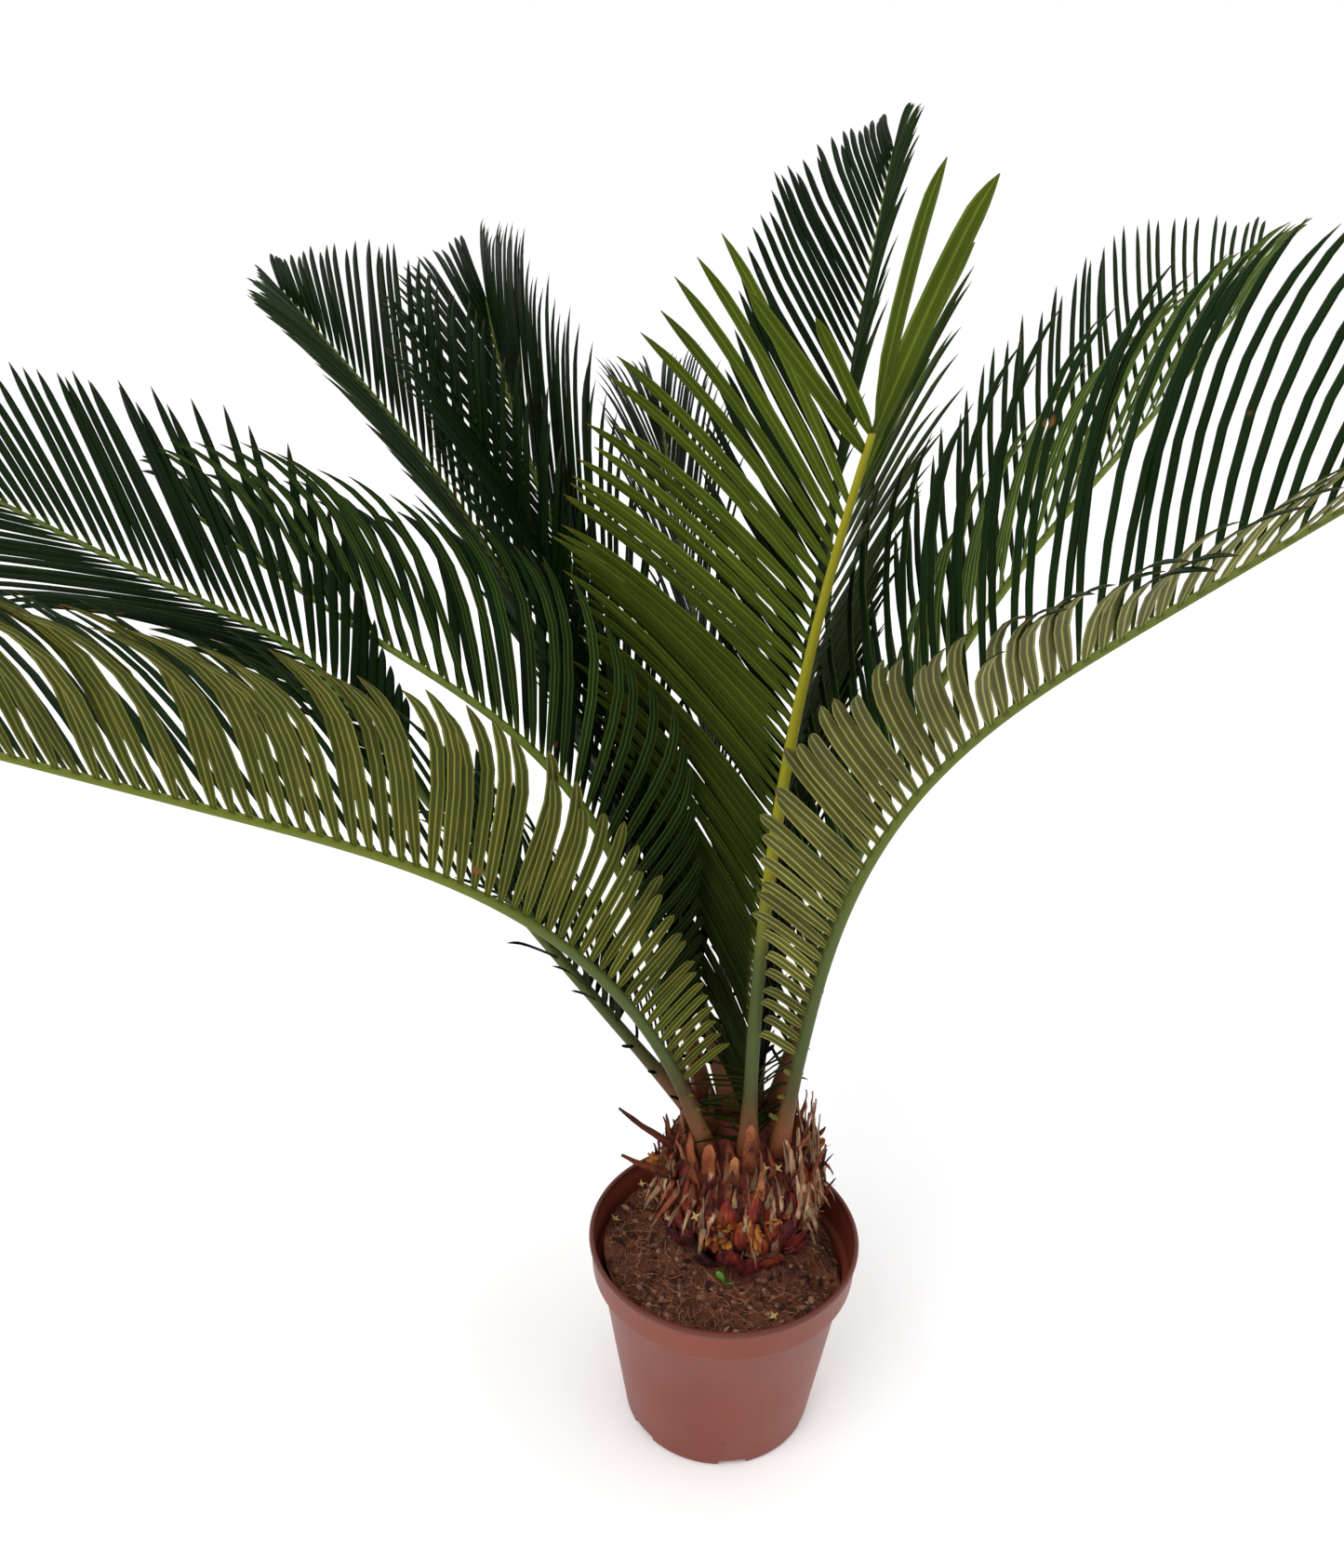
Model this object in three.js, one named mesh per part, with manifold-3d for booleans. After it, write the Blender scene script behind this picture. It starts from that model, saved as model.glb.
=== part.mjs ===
// Potted sago palm: a nursery pot filled with soil, a short stout caudex, and a crown of arching fronds.
// Millimetres and degrees. +Z is up, +Y is the far side of the plant, and the origin is the centre of
// the pot's flat underside.

import * as THREE from 'three';
import { mergeVertices } from 'three/addons/utils/BufferGeometryUtils.js';
import Module from 'manifold-3d';

const wasm = await Module();
wasm.setup();

// The gap kept between pieces that rest on each other, and the finest step kept where pieces are fused.
const SEAT_GAP = 0.3;
const FINEST = 0.05;

// A 12 cm nursery pot: a tapering body with a wider band and a rolled lip at its mouth.
const POT = {
  height: 97,
  rimRadius: 60,
  lipWidth: 2.6,
  lipHeight: 3,
  bandHeight: 17,
  bandFootRadius: 58.4,
  bodyTopRadius: 55,
  baseRadius: 43.2,
  footRound: 2.4,
  wall: 1.6,
  floor: 5,
  sides: 48,
};

// Notches let water out round the foot of the pot.
const NOTCH = { count: 6, width: 13, height: 3.5, depth: 7, azimuth: -82 };

// Moist peat, a little lower where it has shrunk from the wall.
const SOIL = { top: 84, flatRadius: 46, edgeDrop: 3.5, sides: 36 };

// The egg-shaped caudex stands behind and to the right of the pot's centre.
const CAUDEX = {
  x: 7,
  y: 16,
  footRadius: 25,
  bodyRadius: 36.5,
  bodyHeight: 26,
  height: 62,
  sides: 20,
  rings: 9,
};

// Old leaf bases cover the caudex like scales, each row turned by the golden angle.
const SCALE = { count: 38, from: 8, to: 44, width: 15, height: 16, stand: 4.2 };

// Papery sheaths and cut stalks stand round the fronds in two rings.
const SHEATHS = [
  { count: 11, radius: 31, lift: -6, length: 24, lean: 38, width: 10, turn: 7 },
  { count: 11, radius: 27, lift: 0, length: 30, lean: 20, width: 9, turn: 19 },
];
const SHEATH_THICKNESS = 2;

// Long dry tips that stick out past the sheaths: the azimuth, height and reach of each.
const SPIKES = [
  { azimuth: 172, lift: -3, length: 42, lean: 58 },
  { azimuth: 196, lift: -8, length: 36, lean: 66 },
  { azimuth: 6, lift: -12, length: 26, lean: 36 },
];

// What all fronds share. The stalk tapers quickly as far as `stalk`, and the rib slowly from there.
const FROND = {
  stalk: 0.13,
  pairs: 16,
  steps: 10,
  baseWidth: 8.4,
  ribWidth: 5.6,
  tipWidth: 1.8,
  sink: 6,
};

// A leaflet here stands for two or three real ones, so it is wider than life. `inner` is the first one's
// share of full length. Towards the tip the two rows close up, and the last leaflets gather forward.
const LEAFLET = {
  width: 15,
  keel: 1.8,
  hook: 0.3,
  inner: 0.28,
  closing: 0.35,
  gathered: 0.55,
  shortest: 0.45,
  clearance: 0.4,
};

// Each frond: where it sits on the caudex (seat, in azimuth and radius), its compass direction, how
// steeply it rises and how flat it has arched over by its tip, where along its length it bends, how far
// it swings sideways, its length, its roll and the rise of its two rows of leaflets (vee), their angle
// to the rib at the foot and at the tip, the length of the longest leaflet, and the last one's share of
// that. The rows reach down to the share `leafy` of the length, less the share `first` of each row, and
// their leaflets have grown to full length after the share `grown` of the row.
const USUAL = { leafy: 0.13, first: 0, grown: 0.42 };
const FRONDS = [
  { name: 'frond_front', seat: [-85, 17], azimuth: -66, rise: 91, droop: 71, bend: [-0.1, 1.23],
    swing: 15, length: 315, roll: -16, vee: 62, angles: [45, 79], leaflet: 116, last: 0.68,
    leafy: 0.05, grown: 0.25 },
  { name: 'frond_front_right', seat: [-42, 20], azimuth: -42, rise: 81, droop: 42, bend: [0.13, 0.76],
    swing: -6, length: 402, roll: 36, vee: 49, angles: [49, 45], leaflet: 124, last: 0.47 },
  { name: 'frond_right', seat: [34, 17], azimuth: 38, rise: 72, droop: 26, bend: [0.09, 0.66],
    swing: 13, length: 522, roll: 0, vee: 88, angles: [48, 59], leaflet: 100, last: 0.41 },
  { name: 'frond_back_right', seat: [70, 12], azimuth: 73, rise: 66, droop: 24, bend: [0.27, 1.2],
    swing: 5, length: 496, roll: -24, vee: 62, angles: [49, 26], leaflet: 97, last: 0.34 },
  { name: 'frond_back', seat: [101, 21], azimuth: 101, rise: 67, droop: 21, bend: [0.15, 0.63],
    swing: -6, length: 436, roll: -9, vee: 80, angles: [53, 25], leaflet: 110, last: 0.46 },
  { name: 'frond_back_left', seat: [123, 8], azimuth: 131, rise: 62, droop: 30, bend: [0.2, 0.68],
    swing: -28, length: 467, roll: -26, vee: 68, angles: [47, 17], leaflet: 129, last: 0.46 },
  { name: 'frond_left_back', seat: [140, 20], azimuth: 130, rise: 75, droop: 21, bend: [-0.23, 0.88],
    swing: -3, length: 528, roll: -21, vee: 64, angles: [44, 33], leaflet: 107, last: 0.3 },
  { name: 'frond_left_upper', seat: [165, 22], azimuth: 180, rise: 76, droop: 23, bend: [0.21, 0.69],
    swing: -32, length: 375, roll: 24, vee: 61, angles: [47, 39], leaflet: 100, last: 0.34 },
  { name: 'frond_left_lower', seat: [198, 15], azimuth: 170, rise: 49, droop: 16, bend: [0.51, 0.64],
    swing: -16, length: 466, roll: -34, vee: 49, angles: [51, 34], leaflet: 103, last: 0.59,
    first: 0.36, grown: 0.2 },
  { name: 'frond_front_left', seat: [222, 21], azimuth: 205, rise: 74, droop: 26, bend: [-0.07, 0.63],
    swing: -1, length: 432, roll: 15, vee: 40, angles: [55, 48], leaflet: 117, last: 0.37, leafy: 0.1 },
];

const GOLDEN_ANGLE = 137.508;
const rad = THREE.MathUtils.degToRad;
const lerp = THREE.MathUtils.lerp;
const smooth = (x) => THREE.MathUtils.smoothstep(x, 0, 1);
const UP = new THREE.Vector3(0, 0, 1);

// A unit vector at a compass azimuth and an elevation above level, in degrees.
function direction(azimuth, elevation) {
  const level = Math.cos(rad(elevation));
  return new THREE.Vector3(
    level * Math.cos(rad(azimuth)), level * Math.sin(rad(azimuth)), Math.sin(rad(elevation)));
}

// The solid of a closed geometry, with its doubled vertices merged and its empty triangles dropped.
function solidOf(geometry) {
  const bare = new THREE.BufferGeometry();
  bare.setAttribute('position', geometry.getAttribute('position'));
  bare.setIndex(geometry.getIndex());
  const merged = mergeVertices(bare, 1e-4);
  const corners = merged.getIndex().array;
  const kept = [];
  for (let i = 0; i < corners.length; i += 3) {
    const [a, b, c] = [corners[i], corners[i + 1], corners[i + 2]];
    if (a !== b && b !== c && c !== a) kept.push(a, b, c);
  }
  const vertProperties = merged.getAttribute('position').array;
  return new wasm.Manifold(new wasm.Mesh({ numProp: 3, vertProperties, triVerts: new Uint32Array(kept) }));
}

// The geometry of a solid, for a mesh.
function geometryOf(solid) {
  const mesh = solid.getMesh();
  const geometry = new THREE.BufferGeometry();
  geometry.setAttribute('position', new THREE.BufferAttribute(new Float32Array(mesh.vertProperties), 3));
  geometry.setIndex(new THREE.BufferAttribute(new Uint32Array(mesh.triVerts), 1));
  geometry.computeVertexNormals();
  return geometry;
}

// The union of solids as one body: a hollow that it seals is filled, and a loose scrap is dropped.
function fused(solids) {
  const pieces = wasm.Manifold.union(solids).decompose();
  const whole = pieces.reduce((best, piece) => (piece.volume() > best.volume() ? piece : best));
  return whole.asOriginal().simplify(FINEST);
}

// A solid turned about the upright axis from a profile of [radius, height] points that ends on the axis.
function turned(profile, sides) {
  const points = profile.map(([radius, height]) => new THREE.Vector2(radius, height));
  return solidOf(new THREE.LatheGeometry(points, sides).rotateX(Math.PI / 2));
}

// A closed skin over rings of points, each with the same count, from a flat foot to a point or a flat end.
function loft(rings, tip) {
  const count = rings[0].length;
  const points = rings.flat();
  const triangles = [];
  for (let i = 1; i < count - 1; i++) triangles.push(0, i + 1, i);
  for (let r = 0; r < rings.length - 1; r++) {
    for (let i = 0; i < count; i++) {
      const a = r * count + i;
      const b = r * count + ((i + 1) % count);
      triangles.push(a, b, b + count, a, b + count, a + count);
    }
  }
  const last = (rings.length - 1) * count;
  if (tip) {
    points.push(tip);
    for (let i = 0; i < count; i++) triangles.push(last + i, last + ((i + 1) % count), points.length - 1);
  } else {
    for (let i = 1; i < count - 1; i++) triangles.push(last, last + i, last + i + 1);
  }
  const geometry = new THREE.BufferGeometry().setFromPoints(points);
  geometry.setIndex(triangles);
  return solidOf(geometry);
}

// The pot's outside, from the axis at the foot to the lip, then its inside back down to the axis.
function potProfile() {
  const bandFoot = POT.height - POT.bandHeight;
  const outer = [[0, 0], [POT.baseRadius - POT.footRound, 0]];
  for (let i = 1; i <= 3; i++) {
    const turn = rad(-90 + 30 * i);
    outer.push([
      POT.baseRadius - POT.footRound + POT.footRound * Math.cos(turn),
      POT.footRound + POT.footRound * Math.sin(turn)]);
  }
  const lipFoot = POT.height - POT.lipHeight;
  const mouth = POT.rimRadius - POT.lipWidth;
  return [
    ...outer,
    [POT.bodyTopRadius, bandFoot - 1],
    [POT.bandFootRadius, bandFoot + 1],
    [POT.rimRadius - 0.7, lipFoot],
    [POT.rimRadius, lipFoot + 0.8],
    [POT.rimRadius, POT.height - 0.8],
    [POT.rimRadius - 0.8, POT.height],
    [mouth + 0.6, POT.height],
    [mouth, POT.height - 1],
    [POT.bodyTopRadius - POT.wall, bandFoot - 1],
    [POT.baseRadius - POT.wall, POT.floor],
    [0, POT.floor],
  ];
}

// The radius of the pot's inside wall at a height in its body.
function insideRadius(height) {
  const share = (height - POT.floor) / (POT.height - POT.bandHeight - 1 - POT.floor);
  return lerp(POT.baseRadius, POT.bodyTopRadius, share) - POT.wall;
}

function makePot() {
  let pot = turned(potProfile(), POT.sides);
  for (let i = 0; i < NOTCH.count; i++) {
    const box = new THREE.BoxGeometry(2 * NOTCH.depth, NOTCH.width, 2 * NOTCH.height);
    box.translate(POT.baseRadius, 0, 0);
    box.rotateZ(rad(NOTCH.azimuth + (360 / NOTCH.count) * i));
    pot = pot.subtract(solidOf(box));
  }
  return pot;
}

function makeSoil() {
  const bandFoot = POT.height - POT.bandHeight - 1;
  const edge = SOIL.top - SOIL.edgeDrop;
  return turned([
    [0, POT.floor + SEAT_GAP],
    [insideRadius(POT.floor) - 2 * SEAT_GAP, POT.floor + SEAT_GAP],
    [insideRadius(bandFoot) - SEAT_GAP, bandFoot],
    [insideRadius(bandFoot) - SEAT_GAP, edge],
    [SOIL.flatRadius, SOIL.top],
    [0, SOIL.top],
  ], SOIL.sides);
}

// The caudex's radius at a height above its foot: it swells from a narrow foot and domes over the top.
function caudexRadius(height) {
  if (height < CAUDEX.bodyHeight) {
    const share = height / CAUDEX.bodyHeight;
    return lerp(CAUDEX.footRadius, CAUDEX.bodyRadius, Math.sin((share * Math.PI) / 2));
  }
  const share = (height - CAUDEX.bodyHeight) / (CAUDEX.height - CAUDEX.bodyHeight);
  return CAUDEX.bodyRadius * Math.sqrt(Math.max(0, 1 - share ** 2.2));
}

// The height of the caudex's domed top at a radius from its axis.
function domeHeight(radius) {
  const share = (1 - (radius / CAUDEX.bodyRadius) ** 2) ** (1 / 2.2);
  return CAUDEX.bodyHeight + (CAUDEX.height - CAUDEX.bodyHeight) * share;
}

const CAUDEX_FOOT = new THREE.Vector3(CAUDEX.x, CAUDEX.y, SOIL.top + SEAT_GAP);

// The bare caudex, or with `grow` a slightly larger copy that trims what stands on it.
function caudexBody(grow) {
  const profile = [[0, -grow], [CAUDEX.footRadius + grow, -grow]];
  for (let i = 1; i < CAUDEX.rings; i++) {
    const turn = (i / CAUDEX.rings) * (Math.PI / 2);
    const height = CAUDEX.height * Math.sin(turn);
    profile.push([caudexRadius(height) + grow, height + grow]);
  }
  profile.push([0, CAUDEX.height + grow]);
  return turned(profile, CAUDEX.sides).translate(CAUDEX_FOOT.toArray());
}

// One old leaf base: a wedge that is sunk in the caudex at its foot and stands off at its blunt top.
function makeScale(index) {
  const share = index / (SCALE.count - 1);
  const height = lerp(SCALE.from, SCALE.to, share);
  const outward = direction(GOLDEN_ANGLE * index, 0);
  const across = direction(GOLDEN_ANGLE * index + 90, 0);
  const at = (up, out, side) => CAUDEX_FOOT.clone()
    .addScaledVector(outward, caudexRadius(Math.max(0, height + up)) + out)
    .addScaledVector(across, side)
    .addScaledVector(UP, height + up);
  const half = SCALE.width / 2;
  const foot = -SCALE.height * 0.45;
  const top = SCALE.height * 0.55;
  return loft([
    [at(foot, -3, -half * 0.5), at(foot, 0.2, 0), at(foot, -3, half * 0.5)],
    [at(0, -3, -half), at(0, SCALE.stand * 0.7, 0), at(0, -3, half)],
    [at(top, -4, -half * 0.4), at(top, SCALE.stand, 0), at(top, -4, half * 0.4)],
  ]);
}

// A papery blade that stands on the caudex: flat, widest below its middle, with a point that curls out.
function makeBlade({ azimuth, radius, lift, length, lean, width }) {
  const across = direction(azimuth + 90, 0);
  const along = direction(azimuth, 90 - lean);
  const face = new THREE.Vector3().crossVectors(across, along);
  const foot = CAUDEX_FOOT.clone().addScaledVector(direction(azimuth, 0), radius - 4);
  foot.z += domeHeight(radius) + lift - 2;
  const ring = (share, half, thick) => {
    const centre = foot.clone().addScaledVector(along, share * length);
    centre.addScaledVector(direction(azimuth, 0), 0.12 * length * share * share);
    return [
      centre.clone().addScaledVector(across, half),
      centre.clone().addScaledVector(face, -thick),
      centre.clone().addScaledVector(across, -half),
      centre.clone().addScaledVector(face, thick),
    ];
  };
  const half = width / 2;
  const thick = SHEATH_THICKNESS / 2;
  const tip = ring(1, 0, 0)[0];
  return loft([ring(0, half, thick), ring(0.6, half * 0.7, thick)], tip);
}

// The middle line of a frond's rib, with the directions along it, across it and out of its upper face.
function frondFrames(frond) {
  const [seatAzimuth, seatRadius] = frond.seat;
  const point = CAUDEX_FOOT.clone().addScaledVector(direction(seatAzimuth, 0), seatRadius);
  point.z += domeHeight(seatRadius);
  const count = FROND.steps * 5;
  const step = frond.length / count;
  const frames = [];
  let before = null;
  for (let i = 0; i <= count; i++) {
    const share = i / count;
    const bent = smooth((share - frond.bend[0]) / (frond.bend[1] - frond.bend[0]));
    const azimuth = frond.azimuth + frond.swing * share;
    const along = direction(azimuth, lerp(frond.rise, frond.droop, bent));
    if (before) point.addScaledVector(along, step / 2).addScaledVector(before, step / 2);
    const across = direction(azimuth + 90, 0);
    const face = new THREE.Vector3().crossVectors(along, across);
    frames.push({ point: point.clone(), along, across, face });
    before = along;
  }
  return frames;
}

// The frame at a share of the frond's length.
function frameAt(frames, share) {
  return frames[Math.round(share * (frames.length - 1))];
}

function ribWidth(share) {
  if (share < FROND.stalk) return lerp(FROND.baseWidth, FROND.ribWidth, smooth(share / FROND.stalk));
  return lerp(FROND.ribWidth, FROND.tipWidth, (share - FROND.stalk) / (1 - FROND.stalk));
}

// The stalk and rib: a four-sided prism that tapers, and whose foot is trimmed to the caudex.
function makeRib(frames) {
  const ring = (frame, width, back) => {
    const centre = frame.point.clone().addScaledVector(frame.along, -back);
    return [
      centre.clone().addScaledVector(frame.across, width / 2),
      centre.clone().addScaledVector(frame.face, width * 0.4),
      centre.clone().addScaledVector(frame.across, -width / 2),
      centre.clone().addScaledVector(frame.face, -width * 0.4),
    ];
  };
  const rings = [ring(frames[0], FROND.baseWidth, FROND.sink)];
  for (let i = 1; i <= FROND.steps; i++) {
    const share = i / FROND.steps;
    rings.push(ring(frameAt(frames, share), ribWidth(share), 0));
  }
  return loft(rings).subtract(caudexBody(SEAT_GAP));
}

// How long a leaflet is, as a share of the longest, from the first pair (0) to the last (1).
function leafletShare(frond, along) {
  const growing = lerp(LEAFLET.inner, 1, smooth((along - frond.first) / frond.grown));
  const fading = 1 - (1 - frond.last) * Math.max(0, (along - 0.6) / 0.4) ** 1.5;
  return growing * fading;
}

// One leaflet: a three-sided blade, flat above and keeled below, that arches up and hooks back at its tip.
function makeLeaflet(frond, frames, along, side, shorten, grow) {
  const share = lerp(frond.leafy, 1, along);
  const frame = frameAt(frames, share);
  const spread = lerp(frond.angles[0], frond.angles[1], along);
  const angle = rad(spread * (1 - LEAFLET.gathered * smooth((along - 0.7) / 0.3)));
  const raised = rad(frond.vee * (1 - LEAFLET.closing * along) + side * frond.roll);
  const aside = frame.across.clone().multiplyScalar(side * Math.cos(raised))
    .addScaledVector(frame.face, Math.sin(raised));
  const out = frame.along.clone().multiplyScalar(Math.cos(angle)).addScaledVector(aside, Math.sin(angle));
  const edge = frame.along.clone().addScaledVector(out, -frame.along.dot(out)).normalize();
  const under = new THREE.Vector3().crossVectors(out, edge).multiplyScalar(side);
  const length = frond.leaflet * leafletShare(frond, along) * shorten;
  const width = LEAFLET.width * lerp(0.55, 1, smooth(along / 0.3)) * lerp(1, 0.6, smooth((along - 0.6) / 0.4));
  const root = frame.point.clone().addScaledVector(aside, ribWidth(share) * 0.2);
  const ring = (reach, wide) => {
    const centre = root.clone().addScaledVector(out, reach * length);
    centre.addScaledVector(under, LEAFLET.hook * length * (reach ** 3 - reach) / 2);
    const half = (width * wide) / 2 + grow;
    const corners = [
      centre.clone().addScaledVector(edge, half).addScaledVector(under, -grow),
      centre.clone().addScaledVector(edge, -half).addScaledVector(under, -grow),
      centre.clone().addScaledVector(under, LEAFLET.keel + grow),
    ];
    return side < 0 ? corners : [corners[1], corners[0], corners[2]];
  };
  return loft([ring(0, 0.3), ring(0.55, 1)], ring(1, 0)[0]);
}

function touches(solid, others) {
  const box = solid.boundingBox();
  return others.some((other) => {
    const near = other.boundingBox();
    const apart = [0, 1, 2].some((i) => near.min[i] > box.max[i] || near.max[i] < box.min[i]);
    return !apart && solid.intersect(other).volume() > 0;
  });
}

// Every rib is placed first. Then each leaflet is kept if it clears the other fronds, at full length or
// shortened, and is left out if it can't.
function makeFronds() {
  const crown = FRONDS.map((given) => {
    const frond = { ...USUAL, ...given };
    const frames = frondFrames(frond);
    const rib = makeRib(frames);
    return { frond, frames, solid: rib, placed: [rib] };
  });
  for (let i = 0; i < FROND.pairs; i++) {
    for (const item of crown) {
      const along = lerp(item.frond.first, 1, i / (FROND.pairs - 1));
      const others = crown.filter((other) => other !== item).flatMap((other) => other.placed);
      for (const side of [1, -1]) {
        for (let shorten = 1; shorten >= LEAFLET.shortest; shorten -= 0.18) {
          const room = makeLeaflet(item.frond, item.frames, along, side, shorten, LEAFLET.clearance);
          if (touches(room, others)) continue;
          item.placed.push(makeLeaflet(item.frond, item.frames, along, side, shorten, 0));
          break;
        }
      }
    }
  }
  for (const item of crown) item.solid = fused(item.placed);
  return crown;
}

function makeCaudex(fronds) {
  const parts = [caudexBody(0)];
  for (let i = 0; i < SCALE.count; i++) parts.push(makeScale(i));
  const blades = [];
  for (const ring of SHEATHS) {
    for (let i = 0; i < ring.count; i++) {
      const azimuth = ring.turn + (360 / ring.count) * i;
      const length = ring.length * (0.8 + 0.4 * ((i * 0.618) % 1));
      blades.push({ ...ring, azimuth, length });
    }
  }
  for (const spike of SPIKES) blades.push({ ...spike, radius: 33, width: 5 });
  for (const blade of blades) {
    const solid = makeBlade(blade);
    if (!touches(makeBlade({ ...blade, width: blade.width + 1 }), fronds)) parts.push(solid);
  }
  return fused(parts);
}

// The look of each material, as the plant shows it from a step away.
const LOOKS = {
  plastic: { color: '#93503c', roughness: 0.45, metalness: 0 },
  soil: { color: '#40302a', roughness: 0.95, metalness: 0 },
  caudex: { color: '#7d4426', roughness: 0.8, metalness: 0 },
  frond: { color: '#2f4a20', roughness: 0.5, metalness: 0 },
};

const plant = new THREE.Group();

function addMesh(name, solid, look) {
  const mesh = new THREE.Mesh(geometryOf(solid), new THREE.MeshStandardMaterial(LOOKS[look]));
  mesh.name = name;
  plant.add(mesh);
}

const fronds = makeFronds();
addMesh('pot', makePot(), 'plastic');
addMesh('soil', makeSoil(), 'soil');
addMesh('caudex', makeCaudex(fronds.map((item) => item.solid)), 'caudex');
for (const { frond, solid } of fronds) addMesh(frond.name, solid, 'frond');

export default plant;
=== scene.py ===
# Potted sago palm: a nursery pot of peat, a short scaly caudex, and a crown of arching fronds.
# Metres, +Z up, +Y away from the camera, and the origin is the centre of the pot's flat underside.

import math
from collections import namedtuple

import bpy
import numpy as np
from mathutils import Matrix, Vector, noise


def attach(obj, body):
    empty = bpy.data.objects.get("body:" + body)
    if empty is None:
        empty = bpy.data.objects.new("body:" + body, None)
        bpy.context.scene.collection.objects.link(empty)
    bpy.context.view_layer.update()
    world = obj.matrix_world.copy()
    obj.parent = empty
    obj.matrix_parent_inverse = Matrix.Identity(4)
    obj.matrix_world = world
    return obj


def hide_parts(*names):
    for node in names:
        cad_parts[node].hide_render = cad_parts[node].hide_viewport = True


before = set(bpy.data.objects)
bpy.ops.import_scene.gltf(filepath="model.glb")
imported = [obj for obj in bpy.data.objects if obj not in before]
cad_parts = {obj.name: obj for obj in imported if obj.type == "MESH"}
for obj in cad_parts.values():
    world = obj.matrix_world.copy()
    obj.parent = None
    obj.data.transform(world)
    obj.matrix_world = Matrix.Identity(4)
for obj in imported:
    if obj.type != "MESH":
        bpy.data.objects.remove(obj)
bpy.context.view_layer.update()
MM = 0.001


# Camera: a phone held in front of the plant and a little above it, looking down at the pot. Its place,
# pitch, roll and lens were fitted to the pot's rim and foot.
CAMERA_PLACE = Vector((-0.0274, -0.4646, 0.5266))
CAMERA_PITCH = math.radians(24.5)
CAMERA_ROLL = math.radians(1.25)
CAMERA_LENS = 30.92
SENSOR_WIDTH = 36.0

camera_data = bpy.data.cameras.new("camera")
camera_data.sensor_width = SENSOR_WIDTH
camera_data.lens = CAMERA_LENS
camera_data.clip_start = 0.01
camera_data.clip_end = 60.0
camera = bpy.data.objects.new("camera", camera_data)
bpy.context.collection.objects.link(camera)
aim = Vector((0, math.cos(CAMERA_PITCH), -math.sin(CAMERA_PITCH)))
level = Vector((1, 0, 0))
upward = level.cross(aim)
right = level * math.cos(CAMERA_ROLL) + upward * math.sin(CAMERA_ROLL)
top = upward * math.cos(CAMERA_ROLL) - level * math.sin(CAMERA_ROLL)
camera.matrix_world = Matrix((
    (right.x, top.x, -aim.x, CAMERA_PLACE.x),
    (right.y, top.y, -aim.y, CAMERA_PLACE.y),
    (right.z, top.z, -aim.z, CAMERA_PLACE.z),
    (0, 0, 0, 1),
))
bpy.context.scene.camera = camera


# Studio: a matt white floor under an even white sky, with a large soft lamp high on the left and a weaker
# one on the right.
FLOOR_RADIUS = 9.0
WHITE = "ffffff"
SKY_STRENGTH = 1.0
LAMPS_AIM = Vector((0, 0, 0.3))
# Each lamp's name, its place and size in metres, and its power in watts.
LAMPS = (
    ("lamp_key", (-1.3, -1.5, 2.2), 1.8, 30.0),
    ("lamp_fill", (1.9, -0.6, 1.5), 2.0, 8.0),
)


def linear(code):
    """The linear colour of an sRGB hex code such as 8fa06b, with an alpha of one."""
    channels = [int(code[i:i + 2], 16) / 255 for i in (0, 2, 4)]
    return (*[c / 12.92 if c <= 0.04045 else ((c + 0.055) / 1.055) ** 2.4 for c in channels], 1.0)


def add(tree, kind, inputs=None, stops=(), **settings):
    """Adds a shader node: each input gets a value or is linked to a socket, each setting is set. A colour
    ramp gets its stops as (position, hex code)."""
    made = tree.nodes.new(kind)
    for i, (position, code) in enumerate(stops):
        elements = made.color_ramp.elements
        stop = elements[i] if i < 2 else elements.new(position)
        stop.position, stop.color = position, linear(code)
    for key, value in settings.items():
        setattr(made, key, value)
    for key, value in (inputs or {}).items():
        if isinstance(value, bpy.types.NodeSocket):
            tree.links.new(value, made.inputs[key])
        else:
            made.inputs[key].default_value = value
    return made


def new_material(name, roughness, specular=0.5):
    """A material with its shader's roughness and specular level set, its node tree and that shader."""
    made = bpy.data.materials.new(name)
    made.use_nodes = True
    shader = made.node_tree.nodes["Principled BSDF"]
    shader.inputs["Roughness"].default_value = roughness
    shader.inputs["Specular IOR Level"].default_value = specular
    return made, made.node_tree, shader


bpy.ops.object.select_all(action="DESELECT")
bpy.ops.mesh.primitive_circle_add(vertices=96, radius=FLOOR_RADIUS, fill_type="NGON")
floor = bpy.context.object
floor.name = "floor"
floor_paint, _, floor_shader = new_material("floor_matt_paint", 0.9)
floor_shader.inputs["Base Color"].default_value = linear(WHITE)
floor.data.materials.append(floor_paint)

world = bpy.data.worlds.new("white_sky")
world.use_nodes = True
world.node_tree.nodes["Background"].inputs["Color"].default_value = linear(WHITE)
world.node_tree.nodes["Background"].inputs["Strength"].default_value = SKY_STRENGTH
bpy.context.scene.world = world
for name, place, size, power in LAMPS:
    lamp_data = bpy.data.lights.new(name, "AREA")
    lamp_data.size, lamp_data.energy = size, power
    lamp = bpy.data.objects.new(name, lamp_data)
    bpy.context.collection.objects.link(lamp)
    lamp.location = place
    lamp.rotation_euler = (LAMPS_AIM - Vector(place)).to_track_quat("-Z", "Y").to_euler()
bpy.context.scene.view_settings.view_transform = "Standard"


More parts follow.
